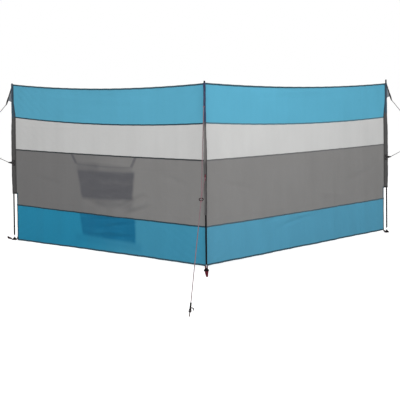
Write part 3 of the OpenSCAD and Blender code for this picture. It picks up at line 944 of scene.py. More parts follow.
def stripe_cloth(name, colour, shades=(), shade_colour=None, falloff_shade=None):
    """Coated cloth: fine weave, faint streaks, painted shade far along it, and painted shade of what hangs
    behind.
    """
    made = Finish(name, CLOTH_MAP)
    weave = made.weave(0.0011)
    streaks = made.drift(9.0, 0.10, made.scaled(1.0, 0.18))
    clouds = made.drift(2.2, 0.10)
    thread_tone = made.calc("MULTIPLY_ADD", weave, 0.06, 0.97)
    base = made.toned(rgba(colour), streaks, clouds, thread_tone)
    # Painted shade: darker towards the end pole, where the light falls off.
    if falloff_shade:
        far = made.span(made.axes()[0], *FALLOFF_SHADE_SPAN)
        base = made.toned(base, made.tint(far, rgba((1, 1, 1)), rgba(falloff_shade)))
    # Painted shade of the bag and pocket behind the cloth, in streaks.
    for shade in shades:
        mask = made.use(shade_box_group(), "Mask", Place=made.place, **shade.shape())
        shaded = made.toned(rgba(shade_colour), streaks, thread_tone)
        lie = made.calc("MULTIPLY", made.drift(9.0, 0.9, made.scaled(0.5, 2.0)), shade.depth)
        base = made.tint(made.calc("MULTIPLY", mask, lie), base, shaded)
    crinkle = made.bump(made.noise(38.0, made.scaled(1.0, 0.6)), 0.0030, 0.45)
    normal = made.bump(weave, 0.00012, 0.4, crinkle)
    return made.done(base, made.roughness(40.0, 0.16, 0.60), normal, 0.10)


def tape_cloth(name, colour, rows, steps=()):
    """Woven tape with rows of stitches along it, and other colours above the heights in steps."""
    made = Finish(name, CLOTH_MAP)
    axes = made.axes()
    ribs = made.ribs(axes[0], TAPE_RIB)
    rib_tone = made.calc("MULTIPLY_ADD", ribs, 0.14, 0.93)
    base = made.toned(made.by_height(colour, *steps), made.drift(14.0, 0.22), rib_tone)
    height = ribs
    for line in rows:
        mask = made.stitches(axes[1], axes[0], line)
        base = made.over(base, mask, 0.55, paler(colour, 1.9, 0.03))
        height = made.calc("ADD", height, mask)
    return made.done(base, made.roughness(60.0, 0.2, 0.62), made.bump(height, 0.0003, 0.5), 0.12)


def sleeve_cloth(name, colour, head, loose=None):
    """Tougher cloth of the sleeves: soft creases, a darker head and rows of stitches along the seam.

    The centre sleeve has a loose stretch painted lighter as its lit side and a painted shadow on its right;
    an end sleeve has painted shade on its round part, a cuff and a box stitch.
    """
    made = Finish(name, CLOTH_MAP)
    axes = made.axes()
    weave = made.weave(0.0016)
    base = rgba(colour)
    if loose:
        # Painted highlight on the loose stretch's lit side, and a painted shadow along the sleeve's right
        # side.
        base = made.tint(made.between(axes[1], LIT_LOOSE_LOW, LIT_LOOSE_HIGH, 0.03), base, rgba(loose))
        crease_shade = made.between(made.solid_axes()[0], 0.004, 0.012, 0.001)
        base = made.toned(base, made.calc("MULTIPLY_ADD", crease_shade, -0.62, 1.0))
    base = made.tint(made.span(axes[1], HEAD_FROM - 0.02, HEAD_FROM + 0.02), base, rgba(head))
    tone = made.drift(7.0, 0.22, made.scaled(3.0, 1.0))
    base = made.toned(base, tone, made.calc("MULTIPLY_ADD", weave, 0.10, 0.95))
    if not loose:
        seam = made.span(axes[0], 0.010, 0.018, 0.66, 1.0)
        # Painted shade: the fold tone darkens the round part of the sleeve about the pole.
        fold = made.span(axes[0], 0.034, 0.046, 1.0, 0.62)
        cuff = made.span(axes[1], SLEEVE_LOW + 0.012, SLEEVE_LOW + 0.018, 0.45, 1.0)
        base = made.toned(base, seam, fold, cuff)
        boxed = made.use(box_stitch_group(), "Mask", Place=made.place, Height=rigging().tab_height)
        base = made.over(base, boxed, 0.95, rgba(rigging().black_webbing))
    height = weave
    for line in (0.004, 0.010):
        mask = made.stitches(axes[0], axes[1], line)
        base = made.over(base, mask, 0.6, paler(colour, 2.2))
        height = made.calc("ADD", height, mask)
    creases = made.bump(made.noise(30.0, made.scaled(2.0, 0.5)), 0.002, 0.4)
    return made.done(base, made.roughness(50.0, 0.2, 0.6), made.bump(height, 0.0003, 0.5, creases), 0.12)


def patch_net(name, colour):
    """Net, drawn on a closed sheet as dark cords around paler places."""
    made = Finish(name, CLOTH_MAP)
    turns = 2 * math.pi / NET_PITCH
    waves = [made.calc("SINE", made.calc("MULTIPLY", axis, turns)) for axis in made.axes()[:2]]
    mask = made.span(made.calc("ABSOLUTE", made.calc("MULTIPLY", *waves)), 0.25, 0.6)
    base = made.toned(rgba(colour), made.drift(18.0, 0.2))
    base = made.over(base, mask, 0.5, paler(colour, 2.2, 0.10))
    cords = made.bump(made.calc("SUBTRACT", 1.0, mask), 0.0005, 0.6)
    return made.done(base, made.calc("MULTIPLY_ADD", mask, 0.2, 0.6), cords, 0.12)


def webbing(name, colour, width, steps=()):
    """Ribbed webbing with firmer edges, a stitched row along each side, and other colours above heights."""
    made = Finish(name, CLOTH_MAP)
    axes = made.axes()
    side = made.calc("ABSOLUTE", axes[0])
    ribs = made.ribs(made.calc("ADD", axes[1], side), WEBBING_RIB)
    rib_tone = made.calc("MULTIPLY_ADD", ribs, 0.22, 0.89)
    base = made.toned(made.by_height(colour, *steps), made.drift(25.0, 0.3), rib_tone)
    edge = made.span(side, width * 0.42, width * 0.49)
    base = made.over(base, edge, 0.35, paler(colour, 1.5, 0.004))
    stitched = made.stitches(side, axes[1], width * 0.36, 0.005, 0.0011)
    base = made.over(base, stitched, 0.6, paler(colour, 2.0, 0.008))
    relief = made.bump(made.calc("ADD", ribs, stitched), 0.0005, 0.6)
    return made.done(base, made.roughness(70.0, 0.2, 0.55), relief, 0.15)


def braided_rope(name, colour, fleck, whipping):
    """Braided cord with flecks of another yarn, and dark whipping where its map runs below zero."""
    made = Finish(name, CLOTH_MAP)
    axes = made.axes()
    girth = math.pi * rigging().rope_diameter
    around = made.calc("MULTIPLY", axes[0], 2 * math.pi * BRAID_STRANDS / girth)
    along = made.calc("MULTIPLY", axes[1], 2 * math.pi / BRAID_PITCH)
    one_way = made.calc("SINE", made.calc("ADD", around, along))
    other_way = made.calc("SINE", made.calc("SUBTRACT", around, along))
    braid = made.calc("MULTIPLY_ADD", made.calc("MULTIPLY", one_way, other_way), 0.5, 0.5)
    fleck_around = made.calc("MULTIPLY", axes[0], 2 * math.pi / girth)
    fleck_along = made.calc("MULTIPLY", axes[1], 2 * math.pi / FLECK_PITCH)
    spiral = made.calc("SINE", made.calc("ADD", fleck_around, fleck_along))
    base = made.over(rgba(colour), made.span(spiral, 0.45, 0.75), 0.6, rgba(fleck))
    base = made.tint(made.calc("LESS_THAN", axes[1], WHIPPED / 2), base, rgba(whipping))
    base = made.toned(base, made.calc("MULTIPLY_ADD", braid, 0.3, 0.85), made.drift(30.0, 0.25))
    rough = made.calc("MULTIPLY_ADD", braid, -0.12, 0.72)
    return made.done(base, rough, made.bump(braid, 0.0007, 0.7), 0.15)


def pole_finish(name, colour):
    """Satin black tube with fine lengthwise scuffs."""
    made = Finish(name)
    scuffs = made.span(made.noise(160.0, made.scaled(1.0, 1.0, 0.03)), 0.60, 0.72)
    base = made.over(rgba(colour), scuffs, 0.25, rgba(srgb(40, 40, 42)))
    base = made.toned(base, made.drift(4.0, 0.3))
    rough = made.calc("MULTIPLY_ADD", scuffs, 0.25, 0.42)
    return made.done(base, rough, made.bump(scuffs, 0.0001, 0.3), 0.05)


def moulded_plastic(name, colour):
    """Black moulded plastic with a fine grain and scuffed places."""
    made = Finish(name)
    scuffs = made.span(made.noise(120.0), 0.58, 0.72)
    base = made.over(rgba(colour), scuffs, 0.25, rgba(srgb(44, 38, 39)))
    rough = made.calc("MULTIPLY_ADD", scuffs, 0.2, 0.55)
    return made.done(base, rough, made.bump(made.noise(900.0), 0.0003, 0.4), 0.08)


def worn_steel(name, colour, roughness, wear, worn_colour, metallic=1.0, worn_below=None):
    """Drawn wire or rod: fine lines, worn places of another colour, and an end that the ground wears."""
    made = Finish(name)
    lines = made.noise(700.0, made.scaled(1.0, 1.0, 0.06))
    share = made.calc("MULTIPLY", made.span(made.noise(85.0), 0.55, 0.66), wear)
    if worn_below:
        low = made.span(made.axes()[2], worn_below * 0.8, worn_below, 1.0, 0.0)
        streaked = made.calc("MULTIPLY", low, made.calc("MULTIPLY_ADD", lines, 0.4, 0.6))
        share = made.calc("MAXIMUM", share, streaked)
    base = made.tint(share, rgba(colour), rgba(worn_colour))
    rough = made.calc("MULTIPLY_ADD", lines, 0.2, roughness)
    specular = 0.5 if metallic > 0.5 else 0.1
    return made.done(base, rough, made.bump(lines, 0.0002, 0.3), specular, metallic)


def seen_share(tree):
    """One for rays that are seen, straight or by a gloss or a clear piece; zero for rays that only light."""
    path = node(tree, "ShaderNodeLightPath").outputs
    bounced = calc(tree, "MAXIMUM", path["Is Glossy Ray"], path["Is Transmission Ray"])
    return calc(tree, "MAXIMUM", path["Is Camera Ray"], bounced)


def pale_floor(name):
    """White ground: even white to the eye, with the object's shadow kept."""
    material = bpy.data.materials.new(name)
    material.use_nodes = True
    tree = material.node_tree
    tree.nodes.clear()
    glow = calc(tree, "MULTIPLY", seen_share(tree), 0.74)
    lit = node(tree, "ShaderNodeBsdfDiffuse", {"Color": (0.62, 0.62, 0.62, 1)})
    white = node(tree, "ShaderNodeEmission", {"Color": (1, 1, 1, 1), "Strength": glow})
    both = node(tree, "ShaderNodeAddShader", {0: lit.outputs[0], 1: white.outputs[0]})
    node(tree, "ShaderNodeOutputMaterial", {"Surface": both.outputs[0]})
    return material


class WINDBREAK_OT_stage(bpy.types.Operator):
    """Set the camera, the white ground and the studio light"""

    bl_idname = "windbreak.stage"
    bl_label = "Stage"

    def execute(self, context):
        values = context.scene.windbreak_stage
        self.camera(context, values)
        bpy.ops.object.select_all(action="DESELECT")
        bpy.ops.mesh.primitive_plane_add(size=80, location=(0, 0, -0.0006))
        floor = context.object
        floor.name = "ground"
        floor.data.materials.append(pale_floor("Pale ground"))
        self.lamp("key", (0.2, -6.3, 3.4), (0, 0.6, 0.7), 4.0, values.key_power)
        self.lamp("left", (-4.5, -3.5, 2.6), (-0.4, 0.8, 0.7), 3.0, values.left_power)
        self.lamp("right", (3.0, -2.0, 2.6), (0.4, 0.8, 0.7), 2.4, values.right_power)
        self.lamp("rear", (0.5, 6.0, 4.0), (0, 0.8, 0.8), 3.0, values.rear_power)
        self.sky(context, values.sky)
        context.scene.view_settings.view_transform = "Standard"
        return {"FINISHED"}

    def camera(self, context, values):
        yaw, pitch, roll = values.yaw, values.pitch, values.roll
        ahead = Vector((math.sin(yaw) * math.cos(pitch), math.cos(yaw) * math.cos(pitch), math.sin(pitch)))
        right = Vector((math.cos(yaw), -math.sin(yaw), 0))
        up = right.cross(ahead)
        tilted_right = right * math.cos(roll) + up * math.sin(roll)
        tilted_up = up * math.cos(roll) - right * math.sin(roll)
        turn = Matrix((tilted_right, tilted_up, -ahead)).transposed().to_4x4()
        lens = bpy.data.cameras.new("camera")
        lens.lens = values.focal
        lens.sensor_width = 36
        lens.shift_x, lens.shift_y = values.shift
        camera = bpy.data.objects.new("camera", lens)
        camera.matrix_world = Matrix.Translation(values.eye) @ turn
        context.scene.collection.objects.link(camera)
        context.scene.camera = camera

    def lamp(self, name, place, target, size, power):
        light = bpy.data.lights.new(name, "AREA")
        light.size = size
        light.energy = power
        lamp = bpy.data.objects.new(name, light)
        lamp.location = place
        lamp.rotation_euler = (Vector(target) - Vector(place)).to_track_quat("-Z", "Y").to_euler()
        bpy.context.scene.collection.objects.link(lamp)

    def sky(self, context, strength):
        world = bpy.data.worlds.new("white studio")
        world.use_nodes = True
        tree = world.node_tree
        tree.nodes.clear()
        levels = {"Value": seen_share(tree), "To Min": strength, "To Max": 1.0}
        level = node(tree, "ShaderNodeMapRange", levels).outputs[0]
        light = node(tree, "ShaderNodeBackground", {"Color": (1, 1, 1, 1), "Strength": level})
        node(tree, "ShaderNodeOutputWorld", {"Surface": light.outputs[0]})
        context.scene.world = world


class WINDBREAK_OT_stripes(bpy.types.Operator):
    """Hang the four cloth stripes of each bay"""

    bl_idname = "windbreak.stripes"
    bl_label = "Cloth stripes"

    def execute(self, context):
        values = cloth()
        for side in BAYS:
            bay = Bay(side)
            stripes = (
                ("top_stripe", "light_blue", TOP_EDGE, values.light_blue),
                ("white_stripe", "white", UPPER_SEAM, values.white),
                ("grey_stripe", "grey", MIDDLE_SEAM, values.grey),
                # The right bay's paler low stripe is painted light.
                ("low_stripe", "blue", LOWER_SEAM, values.blue if side == "left" else values.pale_blue),
            )
            for name, slot, k, colour in stripes:
                shades, shade_colour = (), None
                # Painted shade of the bag and pocket on the left bay's grey and low stripes.
                if side == "left" and name == "grey_stripe":
                    shades, shade_colour = BAG_SHADES, values.bag_shade
                if side == "left" and name == "low_stripe":
                    shades, shade_colour = POCKET_SHADES, values.pocket_shade
                falloff_shade = FALLOFF_SHADE_TONES.get(f"{side}_{name}")
                material = stripe_cloth(f"{side} {slot} cloth", colour, shades, shade_colour, falloff_shade)
                self.stripe(bay, f"{side}_{name}", slot, k, material)
        return {"FINISHED"}

    def stripe(self, bay, name, slot, k, material):
        columns, step = 240, 0.009
        lap, hem_in, start = 0.003, 0.002, -0.003
        under_sleeve, below_sleeve = 0.006, -0.004
        low_in = hem_in if k == LOWER_SEAM else -lap
        high_in = hem_in if k == TOP_EDGE else -lap
        tallest = bay.line(k, 0) - bay.line(k + 1, 0)
        count = max(2, round(tallest / step))
        draft = Draft(name + "_cloth")
        rows = []
        for i in range(count + 1):
            row = []
            for j in range(columns + 1):
                t = j / columns
                u = mix(start, bay.end + under_sleeve, t)
                for _ in range(2):
                    z = mix(bay.line(k + 1, u) + low_in, bay.line(k, u) - high_in, i / count)
                    inset = under_sleeve if z > SLEEVE_LOW else below_sleeve
                    u = mix(start, bay.end_at(z) + inset, t)
                row.append((bay.on_cloth(u, z), (u, z)))
            rows.append(row)
        for lower, upper in zip(rows, rows[1:]):
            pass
        draft.rows(rows)
        piece = draft.finish(cloth().cloth_thickness)
        settle(piece, slot, material, name)
        places = [place for row in rows for _, place in row]


class WINDBREAK_OT_bindings(bpy.types.Operator):
    """Sew the tapes over the seams and fold the hems"""

    bl_idname = "windbreak.bindings"
    bl_label = "Seams and hems"

    def execute(self, context):
        values = cloth()
        middle = (values.middle_seam + values.lower_seam) / 2
        upper = (values.upper_seam + values.middle_seam) / 2
        # One tape painted two ways: lit and paler on the right bay, shaded and darker on the left.
        tapes = {
            "left": (values.blue_tape, values.tape, values.blue_tape),
            "right": (values.low_blue_tape, values.pale_tape, values.pale_blue_tape),
        }
        hem = tape_cloth("Hem fold", values.hem, (-0.0048,))
        half_hem = values.hem_width / 2
        for side in BAYS:
            bay = Bay(side)
            draft = Draft(side + "_seams_tape")
            for k in (UPPER_SEAM, MIDDLE_SEAM, LOWER_SEAM):
                self.band(draft, bay, k, 0, TAPE_HALF, 0.0014, -0.001, bay.end + 0.004)
            low_colour, middle_colour, upper_colour = tapes[side]
            steps = (middle, middle_colour), (upper, upper_colour)
            tape = tape_cloth(f"{side} seam tape", low_colour, (-0.004, 0.004), steps)
            settle(draft.finish(), "seam", tape, side + "_seams")
            draft = Draft(side + "_hems_fold")
            top_end = bay.length - values.head_width + 0.004
            self.band(draft, bay, TOP_EDGE, -half_hem, half_hem, 0.0015, -0.001, top_end)
            self.band(draft, bay, LOWER_EDGE, half_hem, half_hem, 0.0015, -0.001, bay.end)
            self.side_hem(draft, bay, half_hem, 0.0016)
            settle(draft.finish(), "hem", hem, side + "_hems")
        return {"FINISHED"}

    def band(self, draft, bay, k, rise, half_w, half_t, start, end):
        rows = []
        count = 190
        for i in range(count + 1):
            u = mix(start, end, i / count)
            middle = bay.line(k, u) + rise + 0.0005 * math.sin(u / 0.019 + k)
            behind = bay.offset(u, middle)
            rows.append([
                (bay.place(u, middle + across, behind + through), (u, across))
                for across, through in band_ring(half_w, half_t)
            ])
        draft.rows(rows, closed=True, capped=True)

    def side_hem(self, draft, bay, half_w, half_t):
        rows = []
        count = 36
        middle = bay.end - half_w
        for i in range(count + 1):
            z = mix(bay.line(LOWER_EDGE, bay.end) + 2 * half_w - 0.001, SLEEVE_LOW + 0.012, i / count)
            lean = 0.0006 * math.sin(z / 0.021)
            rows.append([
                (bay.place(middle + across + lean, z, bay.offset(middle, z) + through), (z, across))
                for across, through in band_ring(half_w, half_t)
            ])
        draft.rows(rows, closed=True, capped=True)


class WINDBREAK_OT_sleeves(bpy.types.Operator):
    """Sew the sleeves around the poles"""

    bl_idname = "windbreak.sleeves"
    bl_label = "Sleeves"

    def execute(self, context):
        values = cloth()
        end_cloth = sleeve_cloth("End sleeve cloth", values.sleeve, values.sleeve_head)
        centre_colours = (values.sleeve, values.centre_head, values.loose_sleeve)
        centre_cloth = sleeve_cloth("Centre sleeve cloth", *centre_colours)
        for side in SIDES:
            material = centre_cloth if side == "centre" else end_cloth
            out = outward(side)
            draft = Draft(side + "_sleeve_cloth")
            self.tube(draft, side, out)
            piece = draft.finish(0.001)
            if side == "centre":
                piece = self.with_seam_strip(piece, out)
            settle(piece, "sleeve", material, side + "_sleeve")
        return {"FINISHED"}

    def tube(self, draft, side, out):
        across = UP.cross(out)
        bay = Bay("right" if side == "centre" else side)
        top = bay.line(TOP_EDGE, 0 if side == "centre" else bay.length)
        girth = rigging().pole_diameter / 2 + 0.0020
        wrap, tail_half = math.radians(112), 0.0024
        loose_z, loose_run, loose_w = 0.90, 0.17, 0.0046
        count, around, along_tail = 120, 26, 8
        rows = []
        for i in range(count + 1):
            z = mix(SLEEVE_LOW, top, i / count)
            pull = sleeve_pull(side, z)
            tail = SLEEVE_W if side == "centre" else bay.sleeve_tail(z)
            loose = loose_w * math.exp(-(((z - loose_z) / loose_run) ** 2)) if side == "centre" else 0
            section = []
            for j in range(around + 1):
                angle = mix(-wrap, wrap, j / around)
                swell = girth + 0.0006 * math.sin(3 * angle + z / 0.035)
                swell += 0.0004 * math.sin(z / 0.011 + angle)
                section.append((swell * math.cos(angle), (swell + loose) * math.sin(angle)))
            upper, lower = section[-1], section[0]
            for j in range(1, along_tail + 1):
                t = j / along_tail
                section.append((mix(upper[0], -tail, t), mix(upper[1], tail_half, t)))
            for j in range(along_tail):
                t = j / along_tail
                section.append((mix(-tail, lower[0], t), mix(-tail_half, lower[1], t)))
            row = []
            for x, y in section:
                free = smooth(-x, 0.002, 0.02) * smooth(x + tail, 0, 0.012)
                slack = 0.0012 * math.sin(z / 0.027 + 40 * x) * free
                drawn = x + pull * mix(0.5, 1.0, smooth(x, -tail, girth))
                point = FEET[side] + out * drawn + across * (y + slack) + UP * z
                row.append((point, (x + tail, z)))
            rows.append(row)
        draft.rows(rows, closed=True)

    def with_seam_strip(self, piece, out):
        """Adds the strip that joins the two bays under the centre sleeve."""
        values = cloth()
        across = UP.cross(out)
        draft = Draft("centre_seam_strip")
        half_w, half_t, count = 0.006, 0.0024, 40
        rows = []
        for i in range(count + 1):
            z = mix(values.lower_edge, SLEEVE_LOW + 0.01, i / count)
            waver = 0.0004 * math.sin(z / 0.02)
            middle = FEET["centre"] - out * (SLEEVE_W - half_w) + UP * z
            rows.append([
                (middle - out * depth + across * (through + waver), (depth + half_w, z))
                for depth, through in band_ring(half_w, half_t)
            ])
        draft.rows(rows, closed=True, capped=True)
        strip = draft.finish()
        select_only(piece)
        strip.select_set(True)
        bpy.ops.object.join()
        return piece


class WINDBREAK_OT_poles(bpy.types.Operator):
    """Finish the poles and the steel pins in their lower ends"""

    bl_idname = "windbreak.poles"
    bl_label = "Poles and pins"

    def execute(self, context):
        values = rigging()
        black = pole_finish("Pole black", values.pole_black)
        steel = worn_steel("Pin steel", values.steel, 0.28, 0.3, srgb(120, 112, 106))
        for side in SIDES:
            settle(self.tube(side), "pole", black, side + "_pole")
            paint(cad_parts[side + "_foot_pin"], steel)
        return {"FINISHED"}

    def tube(self, side):
        """Tube with a blunt, eased tip and a bore for the pin."""
        low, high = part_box(side + "_pole")
        radius = rigging().pole_diameter / 2
        length = high.z - low.z
        bpy.ops.object.select_all(action="DESELECT")
        bpy.ops.mesh.primitive_cylinder_add(
            vertices=32, radius=radius, depth=length, location=FEET[side] + UP * (low.z + length / 2)
        )
        pole = bpy.context.object
        pole.name = side + "_pole_tube"
        bpy.ops.object.transform_apply(location=True, rotation=True, scale=True)
        bpy.ops.object.mode_set(mode="EDIT")
        select_faces(pole, -UP)
        bpy.ops.mesh.inset(thickness=radius - PIN_BORE / 2)
        bpy.ops.mesh.extrude_region_move(TRANSFORM_OT_translate={"value": (0, 0, PIN_REACH)})
        bpy.ops.object.mode_set(mode="OBJECT")
        ease_edges(pole, 0.0016, 3, 60)
        return pole


class WINDBREAK_OT_feet(bpy.types.Operator):
    """Mould the foot discs with their ribs and bosses"""

    bl_idname = "windbreak.feet"
    bl_label = "Feet"

    def execute(self, context):
        material = moulded_plastic("Foot plastic", rigging().foot_black)
        for side in SIDES:
            settle(self.disc(side), "foot", material, side + "_foot")
        return {"FINISHED"}

    def disc(self, side):
        low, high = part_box(side + "_foot")
        radius = (high.x - low.x) / 2
        base = low.z
        hub_r, boss_r, bore_r, disc_h = 0.014, 0.0071, 0.0029, 0.010
        rim, shoulder, bore_depth = 0.0025, 0.002, 0.006
        bpy.ops.object.select_all(action="DESELECT")
        bpy.ops.mesh.primitive_cylinder_add(
            vertices=48, radius=radius, depth=disc_h * 0.45,
            location=FEET[side] + UP * (base + disc_h * 0.225),
        )
        foot = bpy.context.object
        foot.name = side + "_foot_disc"
        bpy.ops.object.transform_apply(location=True, rotation=True, scale=True)
        bpy.ops.object.mode_set(mode="EDIT")
        select_faces(foot, UP)
        bpy.ops.mesh.inset(thickness=rim)
        bpy.ops.transform.translate(value=(0, 0, disc_h * 0.3))
        bpy.ops.mesh.inset(thickness=radius - rim - hub_r - shoulder)
        bpy.ops.transform.translate(value=(0, 0, disc_h * 0.25))
        bpy.ops.mesh.inset(thickness=shoulder)
        bpy.ops.mesh.extrude_region_move(TRANSFORM_OT_translate={"value": (0, 0, high.z - base - disc_h)})
        bpy.ops.transform.resize(value=(boss_r / hub_r, boss_r / hub_r, 1))
        bpy.ops.mesh.inset(thickness=boss_r - bore_r)
        bpy.ops.mesh.extrude_region_move(TRANSFORM_OT_translate={"value": (0, 0, -bore_depth)})
        bpy.ops.object.mode_set(mode="OBJECT")
        ribs = [self.rib(side, base, radius, hub_r, k) for k in range(8)]
        select_only(foot)
        for rib in ribs:
            rib.select_set(True)
        bpy.ops.object.join()
        ease_edges(foot, 0.0006, 2, 35)
        return foot

    def rib(self, side, base, radius, hub_r, k):
        """One upright rib from the hub to the rim."""
        bpy.ops.object.select_all(action="DESELECT")
        bpy.ops.mesh.primitive_cube_add(size=1, location=(0, 0, 0))
        rib = bpy.context.object
        thickness, height, fall = 0.0020, 0.007, 0.0060
        rib.scale = (radius - hub_r + 0.001, thickness, height)
        bpy.ops.object.transform_apply(location=False, rotation=False, scale=True)
        bpy.ops.object.mode_set(mode="EDIT")
        bpy.ops.mesh.select_mode(type="EDGE")
        bpy.ops.mesh.select_all(action="DESELECT")
        mesh = bmesh.from_edit_mesh(rib.data)
        for edge in mesh.edges:
            edge.select = all(v.co.x > 0 and v.co.z > 0 for v in edge.verts)
        bmesh.update_edit_mesh(rib.data)
        bpy.ops.transform.translate(value=(0, 0, -fall))
        bpy.ops.object.mode_set(mode="OBJECT")
        turn = k * math.pi / 4 + math.pi / 8
        rib.rotation_euler = (0, 0, turn)
        reach = (radius + hub_r) / 2 - 0.002
        middle = Vector((math.cos(turn) * reach, math.sin(turn) * reach, base + 0.0118))
        rib.location = FEET[side] + middle
        bpy.ops.object.transform_apply(location=True, rotation=True, scale=True)
        return rib


class WINDBREAK_OT_foot_straps(bpy.types.Operator):
    """Lay the straps from the cloth's lower corners under the feet"""

    bl_idname = "windbreak.foot_straps"
    bl_label = "Foot straps"

    def execute(self, context):
        values = rigging()
        red = webbing("Red webbing", values.red_webbing, values.strap_width)
        dark = webbing("End webbing", values.end_webbing, values.strap_width)
        for side in SIDES:
            out = outward(side)
            material = red if side == "centre" else dark
            settle(self.strap(side, out), "red_webbing", material, side + "_foot_strap")
        return {"FINISHED"}

    def strap(self, side, out):
        values = rigging()
        half_t = values.strap_thickness * (0.8 if side == "left" else 0.5)
        corner = cloth().lower_edge - half_t
        flat = 0.024
        tail = FOOT_TAILS[side]
        broad, tip = TAIL_ENDS[side]
        profile = ((-0.060, corner), (-0.046, corner), (-flat, half_t), (flat, half_t), *tail)
        path = rounded_path([Vector((x, z, 0)) for x, z in profile], 0.003, 3)
        across = UP.cross(out)
        draft = Draft(side + "_foot_strap_webbing")
        rows = []
        run = 0.0
        for i, point in enumerate(path):
            heading = (path[min(i + 1, len(path) - 1)] - path[max(i - 1, 0)]).normalized()
            run += (point - path[i - 1]).length if i else 0
            curl = 0.0016 * smooth(point.x, 0.03, 0.08) if side == "left" else 0
            past = min(max((point.x - flat) / (tail[-1][0] - flat), 0), 1)
            twist = 0
            if side == "left":
                twist = 1.35 * smooth(point.x, 0.018, 0.045) - 1.1 * smooth(-point.x, 0.020, 0.042)
            full_w = values.strap_width * mix(1.0, broad, smooth(point.x, 0.0, flat))
            half_w = mix(full_w, tip, past) / 2
            row = []
            for wide, through in band_ring(half_w, half_t):
                cup = curl * (wide / half_w) ** 2
                rise = (through + cup) * math.cos(twist) + wide * math.sin(twist)
                aside = wide * math.cos(twist) - (through + cup) * math.sin(twist)
                x = point.x - heading.y * rise
                z = max(point.y + heading.x * rise, 0)
                row.append((FEET[side] + out * x + across * aside + UP * z, (wide, run)))
            rows.append(row)
        draft.rows(rows, closed=True, capped=True)
        return draft.finish()


class WINDBREAK_OT_guy_patches(bpy.types.Operator):
    """Sew the net patches, their straps and the middle tabs to the sleeves"""

    bl_idname = "windbreak.guy_patches"
    bl_label = "Guy patches and tabs"

    def execute(self, context):
        values = rigging()
        net = patch_net("Patch net", cloth().net)
        centre_net = patch_net("Centre net", cloth().centre_net)
        black = webbing("Black webbing", values.black_webbing, values.patch_strap)
        above_tab = values.tab_height + 0.2
        maroon = webbing(
            "Centre webbing", values.centre_webbing, values.patch_strap, [(above_tab, values.centre_strap)]
        )
        for side in SIDES:
            guy = Guy(side)
            piece, flat, area = self.patch(guy)
            settle(piece, "mesh", centre_net if side == "centre" else net, side + "_guy_patch")
            material = maroon if side == "centre" else black
            settle(self.tabs(guy), "black_webbing", material, side + "_guy_tabs")
        return {"FINISHED"}

    def patch(self, guy):
        values = rigging()
        meet = -values.patch_strap * guy.strap_run.y / guy.strap_run.x
        inner = guy.corner + guy.strap_in * (values.patch_strap - 0.002)
        top = inner + guy.strap_run * meet * 0.85
        foot = inner + guy.strap_run * (guy.strap_length - values.patch_free)
        root = Vector((guy.sleeve_face - 0.001, values.patch_top - values.patch_height))
        top.x = max(top.x, guy.sleeve_face - 0.001)
        draft = Draft(guy.side + "_guy_patch_net")
        rows = []
        for i in range(21):
            s = i / 20
            row = []
            for j in range(13):
                t = j / 12
                edge = root.lerp(foot, t) + Vector((0, 0.006 * math.sin(math.pi * t)))
                point = top.lerp(edge, s)
                slack = 0.0025 * math.sin(math.pi * t) * math.sin(math.pi * s)
                slack += 0.0008 * math.sin(s * 19 + 5 * t)
                row.append((guy.place(point, slack), (point.x, point.y)))
            rows.append(row)
        draft.rows(rows)
        piece = draft.finish(0.0009)
        sides = (root - top, foot - top)
        area = abs(sides[0].x * sides[1].y - sides[0].y * sides[1].x) / 2
        width = max(foot.x, root.x) - top.x
        drop = max(top.y - root.y, top.y - foot.y)
        return piece, (max(width, 2.02 * area / drop), drop), area

    def tabs(self, guy):
        values = rigging()
        draft = Draft(guy.side + "_guy_tabs_webbing")
        strap_l = guy.strap_length
        half, overlap = values.patch_strap / 2, 0.0006
        rows = []
        for i in range(49):
            s = strap_l * i / 48
            row = []
            swell = smooth(s, strap_l - 0.075, strap_l - 0.045) * smooth(strap_l - s, -0.004, 0.012)
            for wide, through in band_ring(half * (1 + 0.45 * swell), 0.0019):
                point = guy.corner + guy.strap_run * s + guy.strap_in * (half + wide)
                point.x = max(point.x, guy.sleeve_face - overlap)
                row.append((guy.place(point, through), (wide, s)))
            rows.append(row)
        draft.rows(rows, closed=True, capped=True)
        rows = []
        centre = guy.side == "centre"
        root_h, half_t = (0.026, 0.0036) if centre else (0.014, 0.0016)
        for i in range(9):
            x = guy.sleeve_face - overlap + (guy.tab_reach + overlap) * i / 8
            row = []
            half_h = mix(root_h, 0.0065, i / 8)
            for wide, through in band_ring(half_h, half_t + 0.0006 * math.sin(math.pi * i / 8)):
                row.append((guy.place(Vector((x, values.tab_height + wide)), through), (wide * 0.6, x)))
            rows.append(row)
        draft.rows(rows, closed=True, capped=True)
        return draft.finish()


